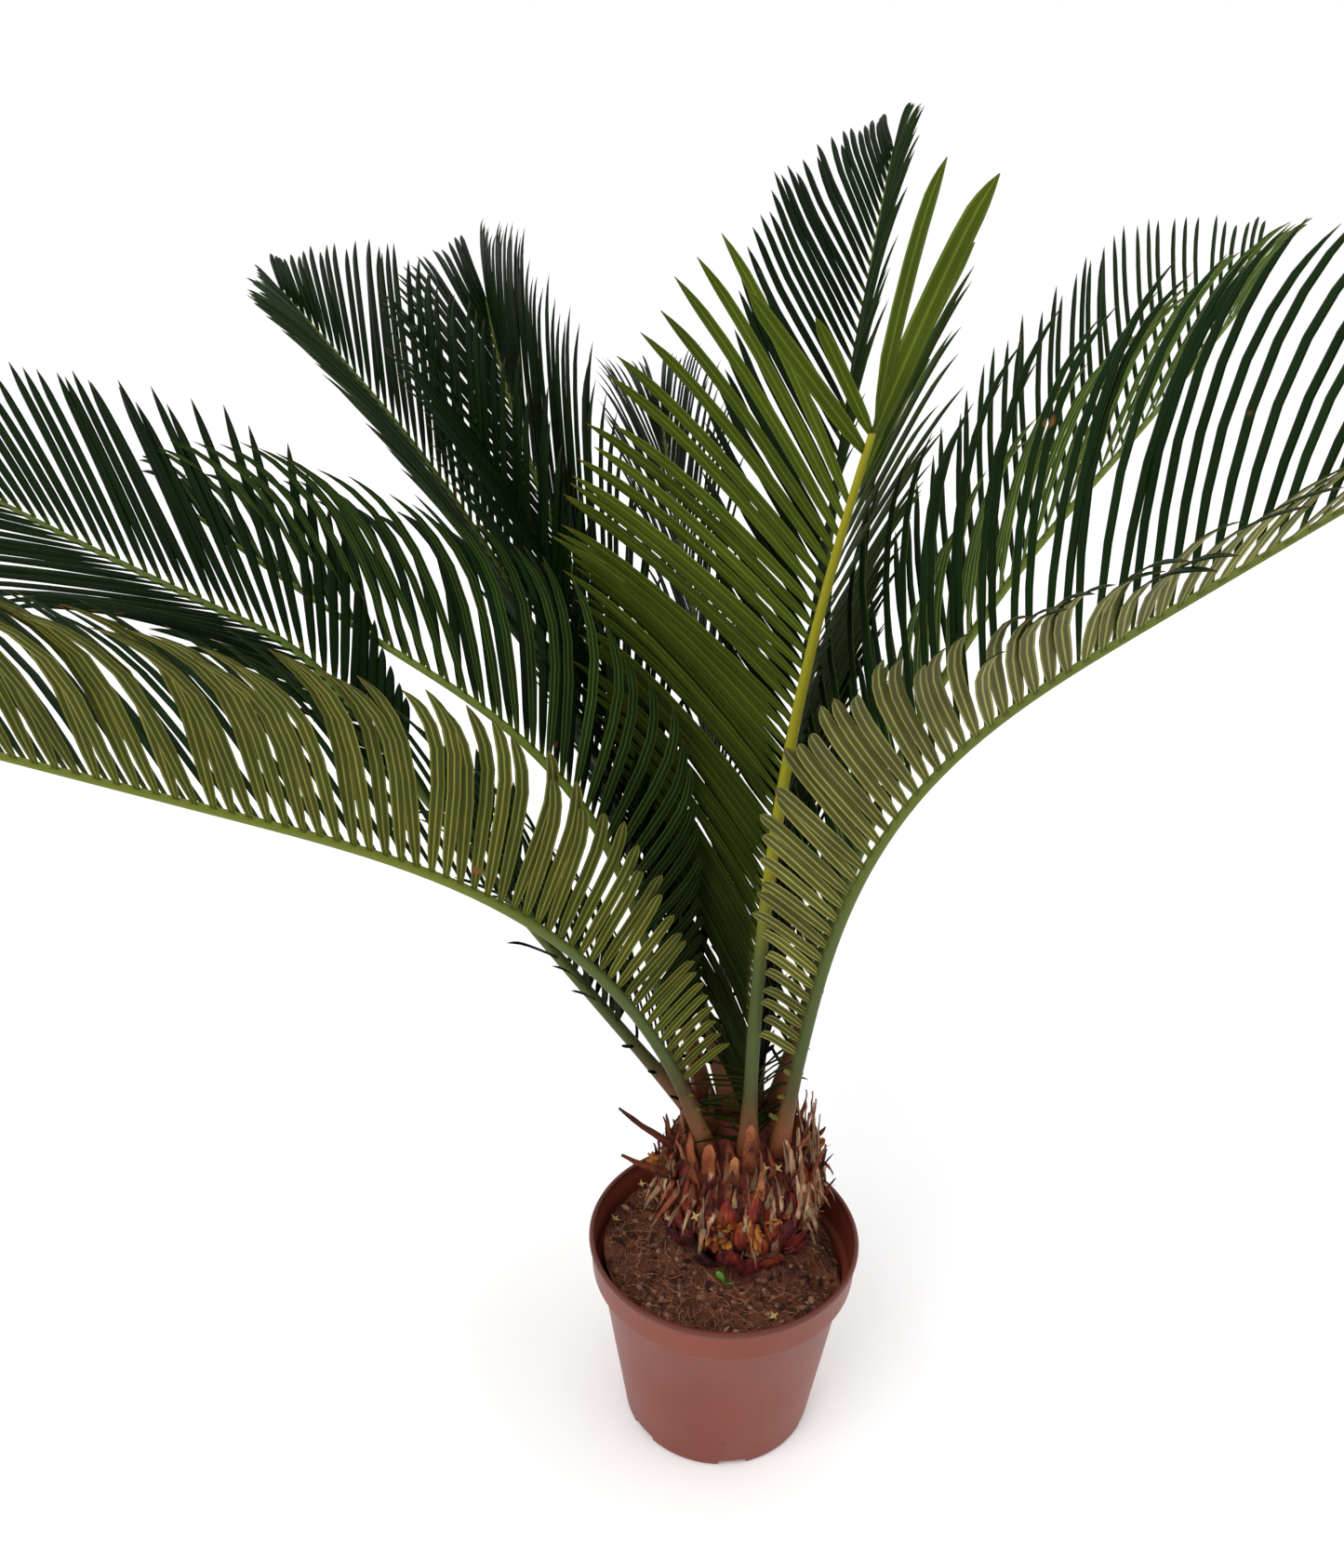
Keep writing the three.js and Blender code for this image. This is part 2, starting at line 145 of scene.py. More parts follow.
# Pot: a 12 cm round nursery pot, injection moulded in terracotta-brown polypropylene. Its body tapers
# to a foot with six drain notches, and a wider band with a rolled lip stiffens its mouth.
POT_PROFILE = (
    (0, 0.6), (38.5, 0.6), (39.4, 0), (41.2, 0), (42.4, 0.5), (43.1, 1.6), (43.3, 3.5),
    (49.2, 42), (54.5, 77.8), (55.4, 79.3), (57.6, 80.2), (58.3, 81), (58.5, 82.2), (59.1, 93),
    (59.3, 94.2), (59.9, 94.9), (60, 95.8), (59.6, 96.7), (58.8, 97), (58, 96.7), (57.6, 95.9),
    (57, 82), (56.4, 80.4), (54.2, 79), (53.2, 76.5), (47.6, 42), (41.7, 5.4), (41, 5), (0, 5),
)
POT_STEPS = 144
NOTCHES = 6
NOTCH_AZIMUTH = -82
NOTCH_SIZE = (30 * MM, 13 * MM, 7 * MM)
NOTCH_RADIUS = 38 * MM
NOTCH_ROUNDING = 1.2 * MM
POT_COLOURS = ("6f3023", "7a3a29")
SPECK_COLOUR = "5a3226"
# The painted shade on the lip: its colour, and the heights over which it comes in.
LIP_SHADE_COLOUR = "5c2a1e"
LIP_SHADE_FROM, LIP_SHADE_TO = 93.2 * MM, 94.8 * MM


def only(piece):
    """Makes one piece the only selected and the active one."""
    bpy.ops.object.select_all(action="DESELECT")
    piece.select_set(True)
    bpy.context.view_layer.objects.active = piece


def faced_outward(piece):
    """Turns the faces of a closed mesh outward."""
    only(piece)
    bpy.ops.object.mode_set(mode="EDIT")
    bpy.ops.mesh.select_all(action="SELECT")
    bpy.ops.mesh.normals_make_consistent(inside=False)
    bpy.ops.object.mode_set(mode="OBJECT")


def spun(name, profile, steps):
    """A closed body spun about the Z axis from a profile of (radius, height) in millimetres."""
    mesh = bpy.data.meshes.new(name)
    points = [(radius * MM, 0, height * MM) for radius, height in profile]
    mesh.from_pydata(points, [(i, i + 1) for i in range(len(points) - 1)], [])
    piece = bpy.data.objects.new(name, mesh)
    bpy.context.collection.objects.link(piece)
    only(piece)
    bpy.ops.object.mode_set(mode="EDIT")
    bpy.ops.mesh.select_all(action="SELECT")
    bpy.ops.mesh.spin(steps=steps, angle=math.tau, center=(0, 0, 0), axis=(0, 0, 1))
    bpy.ops.mesh.select_all(action="SELECT")
    bpy.ops.mesh.remove_doubles(threshold=1e-6)
    bpy.ops.object.mode_set(mode="OBJECT")
    faced_outward(piece)
    return piece


def smoothed(piece, angle):
    """Shades a piece smooth, save at edges sharper than an angle in degrees."""
    only(piece)
    bpy.ops.object.shade_smooth_by_angle(angle=math.radians(angle))


def apply_modifier(piece, name, kind, **settings):
    only(piece)
    modifier = piece.modifiers.new(name, kind)
    for key, value in settings.items():
        setattr(modifier, key, value)
    bpy.ops.object.modifier_apply(modifier=name)


pot = spun("pot_moulded", POT_PROFILE, POT_STEPS)
cutters = []
for i in range(NOTCHES):
    bpy.ops.object.select_all(action="DESELECT")
    bpy.ops.mesh.primitive_cube_add(size=1)
    cutter = bpy.context.object
    cutter.scale = NOTCH_SIZE
    turn = math.radians(NOTCH_AZIMUTH + 360 / NOTCHES * i)
    cutter.rotation_euler = (0, 0, turn)
    cutter.location = (NOTCH_RADIUS * math.cos(turn), NOTCH_RADIUS * math.sin(turn), 0)
    bpy.ops.object.transform_apply(location=True, rotation=True, scale=True)
    apply_modifier(cutter, "round", "BEVEL", width=NOTCH_ROUNDING, segments=2)
    cutters.append(cutter)
for cutter in cutters:
    apply_modifier(pot, "notch", "BOOLEAN", operation="DIFFERENCE", object=cutter)
    bpy.data.objects.remove(cutter)
smoothed(pot, 35)


def linked(tree, shader, colour=None, height=None, strength=0.0, distance=0.0):
    """Links a colour to a shader, and a bump from a height pattern, with its depth in metres."""
    if colour is not None:
        tree.links.new(colour, shader.inputs["Base Color"])
    if height is not None:
        bump = add(tree, "ShaderNodeBump", {"Height": height, "Strength": strength, "Distance": distance})
        tree.links.new(bump.outputs[0], shader.inputs["Normal"])


# Half-matt moulded plastic: even in colour, a little cloudy, with a few brown specks, and painted shade
# darkens the lip.
pot_plastic, tree, shader = new_material("pot_polypropylene_moulded", 0.42, 0.3)
shader.inputs["IOR"].default_value = 1.49
place = add(tree, "ShaderNodeTexCoord").outputs["Object"]
cloud = add(tree, "ShaderNodeTexNoise", {"Vector": place, "Scale": 22.0, "Detail": 4.0})
tint = add(tree, "ShaderNodeValToRGB", {0: cloud.outputs[0]},
           stops=((0.3, POT_COLOURS[0]), (0.7, POT_COLOURS[1])))
speck = add(tree, "ShaderNodeTexNoise", {"Vector": place, "Scale": 260.0, "Detail": 1.0})
specks = add(tree, "ShaderNodeMapRange", {0: speck.outputs[0], 1: 0.74, 2: 0.8})
mixed = add(tree, "ShaderNodeMix", {0: specks.outputs[0], 6: tint.outputs[0], 7: linear(SPECK_COLOUR)},
            data_type="RGBA")
height = add(tree, "ShaderNodeSeparateXYZ", {0: place}).outputs[2]
# Painted shade darkens the lip.
lip_shade_mask = add(tree, "ShaderNodeMapRange", {0: height, 1: LIP_SHADE_FROM, 2: LIP_SHADE_TO})
lip_shaded = add(tree, "ShaderNodeMix", {0: lip_shade_mask.outputs[0], 6: mixed.outputs[2], 7: linear(LIP_SHADE_COLOUR)},
             data_type="RGBA")
grain = add(tree, "ShaderNodeTexNoise", {"Vector": place, "Scale": 900.0, "Detail": 2.0})
linked(tree, shader, lip_shaded.outputs[2], grain.outputs[0], 0.06, 0.4 * MM)
pot.data.materials.append(pot_plastic)
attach(pot, "root")
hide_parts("pot")


# Soil: moist peat with coir fibres, heaped round the caudex, higher at the left and shrunk from the wall
# at the right. The ground is one closed body, and crumbs and fibres lie on it.
SOIL_LEVEL = 83.2 * MM
SOIL_RADIUS = 53.4 * MM
SOIL_RINGS = 64
SOIL_SPOKES = 200
SOIL_SLOPE = 0.09
SOIL_FLOOR = 22 * MM
SOIL_FOOT_SHARE = 0.82
HEAP_HEIGHT, HEAP_RADIUS, HEAP_WIDTH = 6.0 * MM, 26 * MM, 10 * MM
SHRUNK_DEPTH, SHRUNK_FROM, SHRUNK_WIDTH = 2.6 * MM, 46 * MM, 8 * MM
# The surface's waves: how high each kind is and how many there are to the metre.
SOIL_WAVES = ((1.5 * MM, 90), (1.1 * MM, 260), (0.7 * MM, 700))
CAUDEX_AXIS = np.array([7.0, 16.0]) * MM
# Holes in the surface: the place, width and depth of each.
HOLLOWS = ((44 * MM, -13 * MM, 7 * MM, 6 * MM), (51 * MM, 7 * MM, 6 * MM, 6 * MM))


def soil_height(x, y):
    """The height of the peat's rough surface at a place in the pot."""
    from_axis = math.hypot(x - CAUDEX_AXIS[0], y - CAUDEX_AXIS[1])
    from_centre = math.hypot(x, y)
    heap = HEAP_HEIGHT * math.exp(-((from_axis - HEAP_RADIUS) / HEAP_WIDTH) ** 2)
    heap += SOIL_SLOPE * max(0.0, -x)
    wall = max(0.0, (from_centre - SHRUNK_FROM) / SHRUNK_WIDTH)
    gap = 1.0 + 1.2 * math.cos(math.atan2(y, x) - 0.1)
    spot = Vector((x, y, 0.3))
    rough = sum(high * noise.noise(spot * often) for high, often in SOIL_WAVES)
    hollow = sum(deep * math.exp(-((x - middle_x) ** 2 + (y - middle_y) ** 2) / wide ** 2)
                 for middle_x, middle_y, wide, deep in HOLLOWS)
    return SOIL_LEVEL + heap - SHRUNK_DEPTH * gap * wall * wall - hollow + rough


bpy.ops.object.select_all(action="DESELECT")
bpy.ops.mesh.primitive_circle_add(vertices=SOIL_SPOKES, radius=SOIL_RADIUS, location=(0, 0, SOIL_LEVEL))
soil = bpy.context.object
soil.name = "soil_peat"
bpy.ops.object.transform_apply(location=True)
bpy.ops.object.mode_set(mode="EDIT")
bpy.ops.mesh.select_all(action="SELECT")
for ring in range(SOIL_RINGS, 1, -1):
    bpy.ops.mesh.extrude_edges_move()
    bpy.ops.transform.resize(value=((ring - 1) / ring, (ring - 1) / ring, 1),
                             center_override=(0, 0, SOIL_LEVEL))
bpy.ops.mesh.merge(type="CENTER")
bpy.ops.object.mode_set(mode="OBJECT")
for vertex in soil.data.vertices:
    vertex.co.z = soil_height(vertex.co.x, vertex.co.y)
only(soil)
bpy.ops.object.mode_set(mode="EDIT")
bpy.ops.mesh.select_all(action="DESELECT")
bpy.ops.mesh.select_mode(type="EDGE")
bpy.ops.mesh.select_non_manifold()
bpy.ops.mesh.extrude_edges_move()
bpy.ops.transform.resize(value=(SOIL_FOOT_SHARE, SOIL_FOOT_SHARE, 0), center_override=(0, 0, SOIL_FLOOR))
bpy.ops.mesh.edge_face_add()
bpy.ops.object.mode_set(mode="OBJECT")
faced_outward(soil)
smoothed(soil, 60)

# Peat is a dark crumb of fibre and bark: nearly black in its hollows and lighter where it has dried.
peat, tree, shader = new_material("soil_peat_crumb", 0.95, 0.2)
place = add(tree, "ShaderNodeTexCoord").outputs["Object"]
broad = add(tree, "ShaderNodeTexNoise", {"Vector": place, "Scale": 70.0, "Detail": 6.0, "Roughness": 0.7})
peat_tint = add(tree, "ShaderNodeValToRGB", {0: broad.outputs[0]},
                stops=((0.3, "1d0c08"), (0.78, "98664e"), (0.46, "4f2a1c"), (0.6, "71432f")))
fine = add(tree, "ShaderNodeTexNoise", {"Vector": place, "Scale": 900.0, "Detail": 5.0})
linked(tree, shader, peat_tint.outputs[0], fine.outputs[0], 0.9, 1.2 * MM)
soil.data.materials.append(peat)
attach(soil, "root")
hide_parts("soil")


def skins(centres, sides, normals, widths, heights, section, stations, tones, slot=0):
    """Blades or rods swept along m lines of n stations. A section of k (x, y) points is scaled by each
    station's half width and half height, and laid out on its side and normal directions."""
    m, n = centres.shape[:2]
    section = np.asarray(section, float)
    x = section[:, 0][None, None, :, None] * (widths / 2)[:, :, None, None]
    y = section[:, 1][None, None, :, None] * (heights / 2)[:, :, None, None]
    points = centres[:, :, None, :] + x * sides[:, :, None, :] + y * normals[:, :, None, :]
    return {"points": points, "stations": np.asarray(stations, float), "tones": np.asarray(tones, float),
            "slot": slot}


def joined(name, parts, materials):
    """One mesh of many closed skins. Its UV map named blade runs round and along each skin, and its
    attribute named tone holds each skin's own shade."""
    points, faces, slots, uvs, tones = [], [], [], [], []
    start = 0
    for part in parts:
        m, n, k = part["points"].shape[:3]
        points.append(part["points"].reshape(-1, 3))
        tones.append(np.repeat(part["tones"], n * k))
        v = part["stations"]
        for i in range(m):
            base = start + i * n * k
            for r in range(n - 1):
                for c in range(k):
                    a, b = base + r * k + c, base + r * k + (c + 1) % k
                    faces.append((a, b, b + k, a + k))
                    u0, u1 = c / k, (c + 1) / k
                    uvs += [(u0, v[r]), (u1, v[r]), (u1, v[r + 1]), (u0, v[r + 1])]
            last = base + (n - 1) * k
            faces.append(tuple(range(base + k - 1, base - 1, -1)))
            uvs += [(0.5, 0.0)] * k
            faces.append(tuple(range(last, last + k)))
            uvs += [(0.5, 1.0)] * k
            slots += [part["slot"]] * ((n - 1) * k + 2)
        start += m * n * k
    mesh = bpy.data.meshes.new(name)
    mesh.from_pydata(np.concatenate(points).tolist(), [], faces)
    layer = mesh.uv_layers.new(name="blade")
    layer.data.foreach_set("uv", np.asarray(uvs, np.float32).ravel())
    tone = mesh.attributes.new("tone", "FLOAT", "POINT")
    tone.data.foreach_set("value", np.concatenate(tones).astype(np.float32))
    mesh.polygons.foreach_set("material_index", np.asarray(slots, np.int32))
    mesh.polygons.foreach_set("use_smooth", np.ones(len(mesh.polygons), bool))
    for material in materials:
        mesh.materials.append(material)
    mesh.validate()
    piece = bpy.data.objects.new(name, mesh)
    bpy.context.collection.objects.link(piece)
    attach(piece, "root")
    return piece


def unit(vectors):
    return vectors / np.maximum(np.linalg.norm(vectors, axis=-1, keepdims=True), 1e-12)


def frames_along(lines, up):
    """Side and normal directions along m lines, with the normals as near to `up` as they can be."""
    along = unit(np.gradient(lines, axis=1))
    sides = unit(np.cross(up, along))
    return sides, np.cross(along, sides)


# What is strewn on the peat lies within one radius of the pot's axis and outside another of the caudex's.
STREWN_RADIUS = 51.5 * MM
CLEAR_RADIUS = 24 * MM
rng = np.random.default_rng(7)


def soil_spots(count):
    """Places on the peat, clear of the caudex and spread evenly."""
    spots = []
    while len(spots) < count:
        x, y = rng.uniform(-STREWN_RADIUS, STREWN_RADIUS, 2)
        clear = math.hypot(x - CAUDEX_AXIS[0], y - CAUDEX_AXIS[1]) > CLEAR_RADIUS
        if math.hypot(x, y) < STREWN_RADIUS and clear:
            spots.append((x, y, soil_height(x, y)))
    return np.array(spots)


# Crumbs of peat and bark: each a lump of five rings pressed out of round.
CRUMBS = 1100
CRUMB_SIZE = 3.2 * MM
lumps = soil_spots(CRUMBS)
size = rng.uniform(0.5, 1.0, CRUMBS) ** 2 * CRUMB_SIZE
turns = rng.uniform(0, math.tau, CRUMBS)
run = np.stack([np.cos(turns), np.sin(turns), rng.uniform(-0.4, 0.4, CRUMBS)], 1)
stations = np.array([0.0, 0.18, 0.45, 0.75, 1.0])
bulge = np.array([0.25, 0.8, 1.0, 0.75, 0.2])
reach = size * rng.uniform(0.9, 1.7, CRUMBS)
steps = (stations - 0.5)[None, :, None] * reach[:, None, None]
lines = lumps[:, None, :] + run[:, None, :] * steps
sides, normals = frames_along(lines, np.array([0, 0, 1.0]))
lump_section = [(math.cos(a), math.sin(a)) for a in np.linspace(0, math.tau, 6, endpoint=False)]
widths = size[:, None] * bulge[None, :] * rng.uniform(0.75, 1.25, (CRUMBS, 5))
lumps = skins(lines, sides, normals, widths, widths * 0.8, lump_section, stations,
              rng.uniform(0, 1, CRUMBS))
crumbs = joined("soil_crumbs", [lumps], [])

# Peat and bark in lumps: matt, each in its own brown.
crumb_peat, tree, shader = new_material("soil_bark_crumb", 0.95, 0.2)
tone = add(tree, "ShaderNodeAttribute", attribute_name="tone").outputs["Fac"]
crumb_tint = add(tree, "ShaderNodeValToRGB", {0: tone},
                 stops=((0.0, "24110c"), (1.0, "96705a"), (0.5, "4d2f23"), (0.85, "6f4a39")))
linked(tree, shader, crumb_tint.outputs[0])
crumbs.data.materials.append(crumb_peat)

# Coir fibres: hair-thin, curly, tan to dark brown, lying over the crumbs. One that comes to the pot's
# wall turns away from it.
FIBRES = 800
FIBRE_LENGTHS = (4, 15)
FIBRE_WIDTHS = (0.14, 0.34)
FIBRE_POINTS = 8
FIBRE_SECTION = ((1, 0), (0, 1), (-1, 0), (0, -1))
WALL_RADIUS = 52 * MM
WALL_TURN = 2.2
spots = soil_spots(FIBRES)
stations = np.linspace(0, 1, FIBRE_POINTS)
turns = rng.uniform(0, math.tau, FIBRES)
bends = rng.normal(0, 1.3, (FIBRES, 2))
lengths = rng.uniform(*FIBRE_LENGTHS, FIBRES) * MM
lines = np.zeros((FIBRES, FIBRE_POINTS, 3))
for i in range(FIBRES):
    heading, point = turns[i], spots[i].copy()
    step = lengths[i] / (FIBRE_POINTS - 1)
    for j in range(FIBRE_POINTS):
        lines[i, j] = point
        heading += (bends[i, 0] + bends[i, 1] * (stations[j] - 0.5) * 2) / FIBRE_POINTS
        point = point + np.array([math.cos(heading) * step, math.sin(heading) * step, 0])
        if math.hypot(point[0], point[1]) > WALL_RADIUS:
            heading += WALL_TURN
            point = lines[i, j].copy()
        hop = 0.8 * MM * math.sin(math.pi * (j + 1) / FIBRE_POINTS)
        point[2] = soil_height(point[0], point[1]) + 0.25 * MM + hop * ((i * 7) % 5) / 4
sides, normals = frames_along(lines, np.array([0, 0, 1.0]))
thick = (rng.uniform(*FIBRE_WIDTHS, FIBRES) * MM)[:, None] * np.ones((1, FIBRE_POINTS))
hairs = skins(lines, sides, normals, thick, thick, FIBRE_SECTION, stations, rng.uniform(0, 1, FIBRES))
fibres = joined("soil_coir", [hairs], [])

# Coir is coconut husk: straw to dark brown, with a little shine.
coir, tree, shader = new_material("soil_coir_fibre", 0.8)
tone = add(tree, "ShaderNodeAttribute", attribute_name="tone").outputs["Fac"]
coir_tint = add(tree, "ShaderNodeValToRGB", {0: tone},
                stops=((0.0, "4a2819"), (1.0, "b9936a"), (0.55, "7c462b"), (0.88, "9f6a44")))
linked(tree, shader, coir_tint.outputs[0])
fibres.data.materials.append(coir)


# Caudex: the short egg-shaped stem, a core of packed old leaf bases. Its foot stands on the peat, and its
# sizes are in millimetres from there.
CAUDEX_FOOT = np.array([7.0, 16.0, 84.3])
CAUDEX_BODY_RADIUS = 36.5
CAUDEX_BODY_HEIGHT = 26.0
CAUDEX_HEIGHT = 62.0
CAUDEX_FOOT_RADIUS = 25.0
# How far the core lies inside the caudex's skin, which the scales and strips fill up, and how much lower
# it is.
CORE_INSET = 2.5
CORE_SHARE = 0.97
CORE_RINGS = 22


def caudex_radius(height):
    """The caudex's radius in millimetres at a height above its foot."""
    if height < CAUDEX_BODY_HEIGHT:
        swell = math.sin(height / CAUDEX_BODY_HEIGHT * math.pi / 2)
        return CAUDEX_FOOT_RADIUS + (CAUDEX_BODY_RADIUS - CAUDEX_FOOT_RADIUS) * swell
    share = (height - CAUDEX_BODY_HEIGHT) / (CAUDEX_HEIGHT - CAUDEX_BODY_HEIGHT)
    return CAUDEX_BODY_RADIUS * math.sqrt(max(0.0, 1 - share ** 2.2))


def dome_height(radius):
    """The height in millimetres of the caudex's domed top at a radius from its axis."""
    share = (1 - (radius / CAUDEX_BODY_RADIUS) ** 2) ** (1 / 2.2)
    return CAUDEX_BODY_HEIGHT + (CAUDEX_HEIGHT - CAUDEX_BODY_HEIGHT) * share


def direction(azimuth, elevation):
    """Unit vectors at compass azimuths and elevations above level, in degrees."""
    azimuth, elevation = np.radians(azimuth), np.radians(elevation)
    azimuth, elevation = np.broadcast_arrays(azimuth, elevation)
    return np.stack([np.cos(elevation) * np.cos(azimuth), np.cos(elevation) * np.sin(azimuth),
                     np.sin(elevation)], -1)


core_profile = [(0, 0), (CAUDEX_FOOT_RADIUS - CORE_INSET - 0.5, 0)]
for i in range(1, CORE_RINGS):
    height = CAUDEX_HEIGHT * math.sin(i / CORE_RINGS * math.pi / 2)
    core_profile.append((max(caudex_radius(height) - CORE_INSET, 0.5), height * CORE_SHARE))
core_profile.append((0, CAUDEX_HEIGHT * CORE_SHARE))
core = spun("caudex_core", core_profile, 96)
for vertex in core.data.vertices:
    spot = Vector(vertex.co)
    out = (spot - Vector((0, 0, CAUDEX_BODY_HEIGHT * MM))).normalized()
    vertex.co += out * (1.6 * MM * noise.noise(spot * 130) + 0.8 * MM * noise.noise(spot * 420))
    vertex.co.z = max(vertex.co.z, 0)
    vertex.co += Vector(CAUDEX_FOOT) * MM
smoothed(core, 60)

# Bark of packed leaf bases: dark maroon in its clefts and rust where it is worn.
bark, tree, shader = new_material("caudex_leaf_base_bark", 0.85)
place = add(tree, "ShaderNodeTexCoord").outputs["Object"]
patch = add(tree, "ShaderNodeTexNoise",
            {"Vector": place, "Scale": 90.0, "Detail": 5.0, "Roughness": 0.65})
bark_tint = add(tree, "ShaderNodeValToRGB", {0: patch.outputs[0]},
                stops=((0.3, "2c0e0a"), (0.72, "8f4227"), (0.5, "672117")))
fine = add(tree, "ShaderNodeTexNoise", {"Vector": place, "Scale": 600.0, "Detail": 5.0})
linked(tree, shader, bark_tint.outputs[0], fine.outputs[0], 0.8, 1 * MM)
core.data.materials.append(bark)
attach(core, "root")
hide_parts("caudex")


# Old leaf bases: swollen scales in spirals over the lower caudex, each a bulb pressed against the stem,
# and the lowest ones spread on the peat. They are purple-maroon below and worn to rust above.
GOLDEN_ANGLE = 137.508
SCALES = 62
SCALE_STATIONS = np.array([0, 0.12, 0.3, 0.52, 0.75, 0.92, 1.0])
SCALE_OUTLINE = np.array([0.35, 0.75, 0.98, 0.95, 0.66, 0.34, 0.08])
SCALE_HEIGHTS = (1, 38)
ROUND_SECTION = [(math.cos(a), math.sin(a)) for a in np.linspace(0, math.tau, 10, endpoint=False)]


def on_caudex(azimuth, height, stand=0.0):
    """A point on the caudex's skin in millimetres, or off it by `stand`."""
    return CAUDEX_FOOT + (caudex_radius(height) + stand) * direction(azimuth, 0) + (0, 0, height)


def skin_slope(low, high, run):
    """How far the caudex's skin leans out from upright between two heights, in degrees."""
    rise_out = caudex_radius(min(high, CAUDEX_HEIGHT - 2)) - caudex_radius(max(low, 0))
    return math.degrees(math.atan2(rise_out, run))


def leaned(foot, azimuth, lean, curl, length, stations, sway=0.0):
    """A line that leaves `foot` at `lean` degrees from upright, curls outward by `curl` more, and turns
    sideways by `sway`."""
    steps = 32
    fine = np.linspace(0, 1, steps + 1)
    step = direction(azimuth + sway * fine, 90 - lean - curl * fine)
    path = np.concatenate([np.zeros((1, 3)), np.cumsum(0.5 * (step[1:] + step[:-1]), 0)])
    path = foot + path * length / steps
    return np.stack([np.interp(stations, fine, path[:, i]) for i in range(3)], -1)


def turned_about(vectors, axis, angle):
    """Unit vectors turned about axes by angles in radians."""
    c, s = np.cos(angle)[..., None], np.sin(angle)[..., None]
    along = axis * (axis * vectors).sum(-1, keepdims=True)
    return vectors * c + np.cross(axis, vectors) * s + along * (1 - c)


def blades(rows, section, stations, slot=0):
    """Skins of blades that face outward from the caudex. Each row holds a line, its azimuth, its widths,
    its thicknesses, how far it twists in radians, and its tone."""
    lines, azimuths, widths, thicks, twists, tones = (np.array(column) for column in zip(*rows))
    along = unit(np.gradient(lines, axis=1))
    sides = direction(azimuths[:, None] + 90, 0) * np.ones((1, lines.shape[1], 1))
    sides = unit(sides - (sides * along).sum(2, keepdims=True) * along)
    sides = turned_about(sides, along, twists[:, None] * stations[None])
    return skins(lines * MM, sides, np.cross(along, sides), widths * MM, thicks * MM, section, stations,
                 tones, slot)


def roughened(piece, size, height):
    """Pushes a mesh's points about by noise of a size and a height in millimetres."""
    for vertex in piece.data.vertices:
        spot = Vector(vertex.co) / (size * MM)
        push = [noise.noise(spot + Vector(apart)) for apart in ((0, 0, 0), (7, 0, 0), (0, 7, 0))]
        vertex.co += Vector(push) * height * MM


rows, tops = [], []
for i in range(SCALES):
    share = i / (SCALES - 1)
    height = SCALE_HEIGHTS[0] + (SCALE_HEIGHTS[1] - SCALE_HEIGHTS[0]) * share
    azimuth = GOLDEN_ANGLE * i
    spread = 1 - min(1, share / 0.4)
    foot = on_caudex(azimuth, max(height - 4, 0), 6.0 * spread - 2.6)
    lean = skin_slope(height - 4, height + 4, 8) + 8
    length = rng.uniform(13, 18)
    line = leaned(foot, azimuth, lean, -12, length, SCALE_STATIONS, rng.normal(0, 10))
    wide = rng.uniform(11.5, 15.0) * (1 - 0.2 * share)
    rows.append((line, azimuth, wide * SCALE_OUTLINE, rng.uniform(4.6, 6.4) * SCALE_OUTLINE,
                 rng.normal(0, 0.3), 0.62 * share + rng.uniform(0, 0.38)))
    tops.append((line[5], azimuth))
scales = joined("caudex_scales", [blades(rows, ROUND_SECTION, SCALE_STATIONS)], [])
roughened(scales, 3.3, 1.3)
roughened(scales, 1.4, 0.6)


def fibrous(name, stops, streak, roughness, wool=0.0):
    """Dry fibrous tissue: each piece takes its colour from its own tone, with streaks along it and, where
    it is woolly, a fine felt."""
    made, tree, shader = new_material(name, roughness, 0.25)
    uv = add(tree, "ShaderNodeUVMap", uv_map="blade").outputs[0]
    parts = add(tree, "ShaderNodeSeparateXYZ", {0: uv})
    tone = add(tree, "ShaderNodeAttribute", attribute_name="tone").outputs["Fac"]
    place = add(tree, "ShaderNodeTexCoord").outputs["Object"]
    patch = add(tree, "ShaderNodeTexNoise", {"Vector": place, "Scale": 130.0, "Detail": 5.0})
    # The streaks are narrow round a piece and long along it, and its tone sets them apart from the next.
    lane = add(tree, "ShaderNodeMath", {0: parts.outputs[0], 1: 26.0}, operation="MULTIPLY")
    reach = add(tree, "ShaderNodeMath", {0: parts.outputs[1], 1: 2.5}, operation="MULTIPLY")
    apart = add(tree, "ShaderNodeMath", {0: tone, 1: 90.0}, operation="MULTIPLY")
    grid = add(tree, "ShaderNodeCombineXYZ",
               {0: lane.outputs[0], 1: reach.outputs[0], 2: apart.outputs[0]})
    streaks = add(tree, "ShaderNodeTexNoise", {"Vector": grid.outputs[0], "Scale": 1.0, "Detail": 3.0})
    felt = add(tree, "ShaderNodeTexNoise", {"Vector": place, "Scale": 900.0, "Detail": 4.0})
    grain = add(tree, "ShaderNodeMix", {0: wool, 2: streaks.outputs[0], 3: felt.outputs[0]})
    pushed = add(tree, "ShaderNodeMapRange", {0: patch.outputs[0], 1: 0.25, 2: 0.75, 3: -0.35, 4: 0.35})
    spot = add(tree, "ShaderNodeMath", {0: tone, 1: pushed.outputs[0]}, operation="ADD")
    ramp = add(tree, "ShaderNodeValToRGB", {0: spot.outputs[0]}, stops=stops)
    light = add(tree, "ShaderNodeMapRange", {0: grain.outputs[0], 1: 0.3, 2: 0.7, 3: 1 - streak,
                                             4: 1 + streak})
    toned = add(tree, "ShaderNodeVectorMath", {0: ramp.outputs[0], 3: light.outputs[0]},
                operation="SCALE")
    linked(tree, shader, toned.outputs[0], grain.outputs[0], 0.9, 1.2 * MM)
    return made


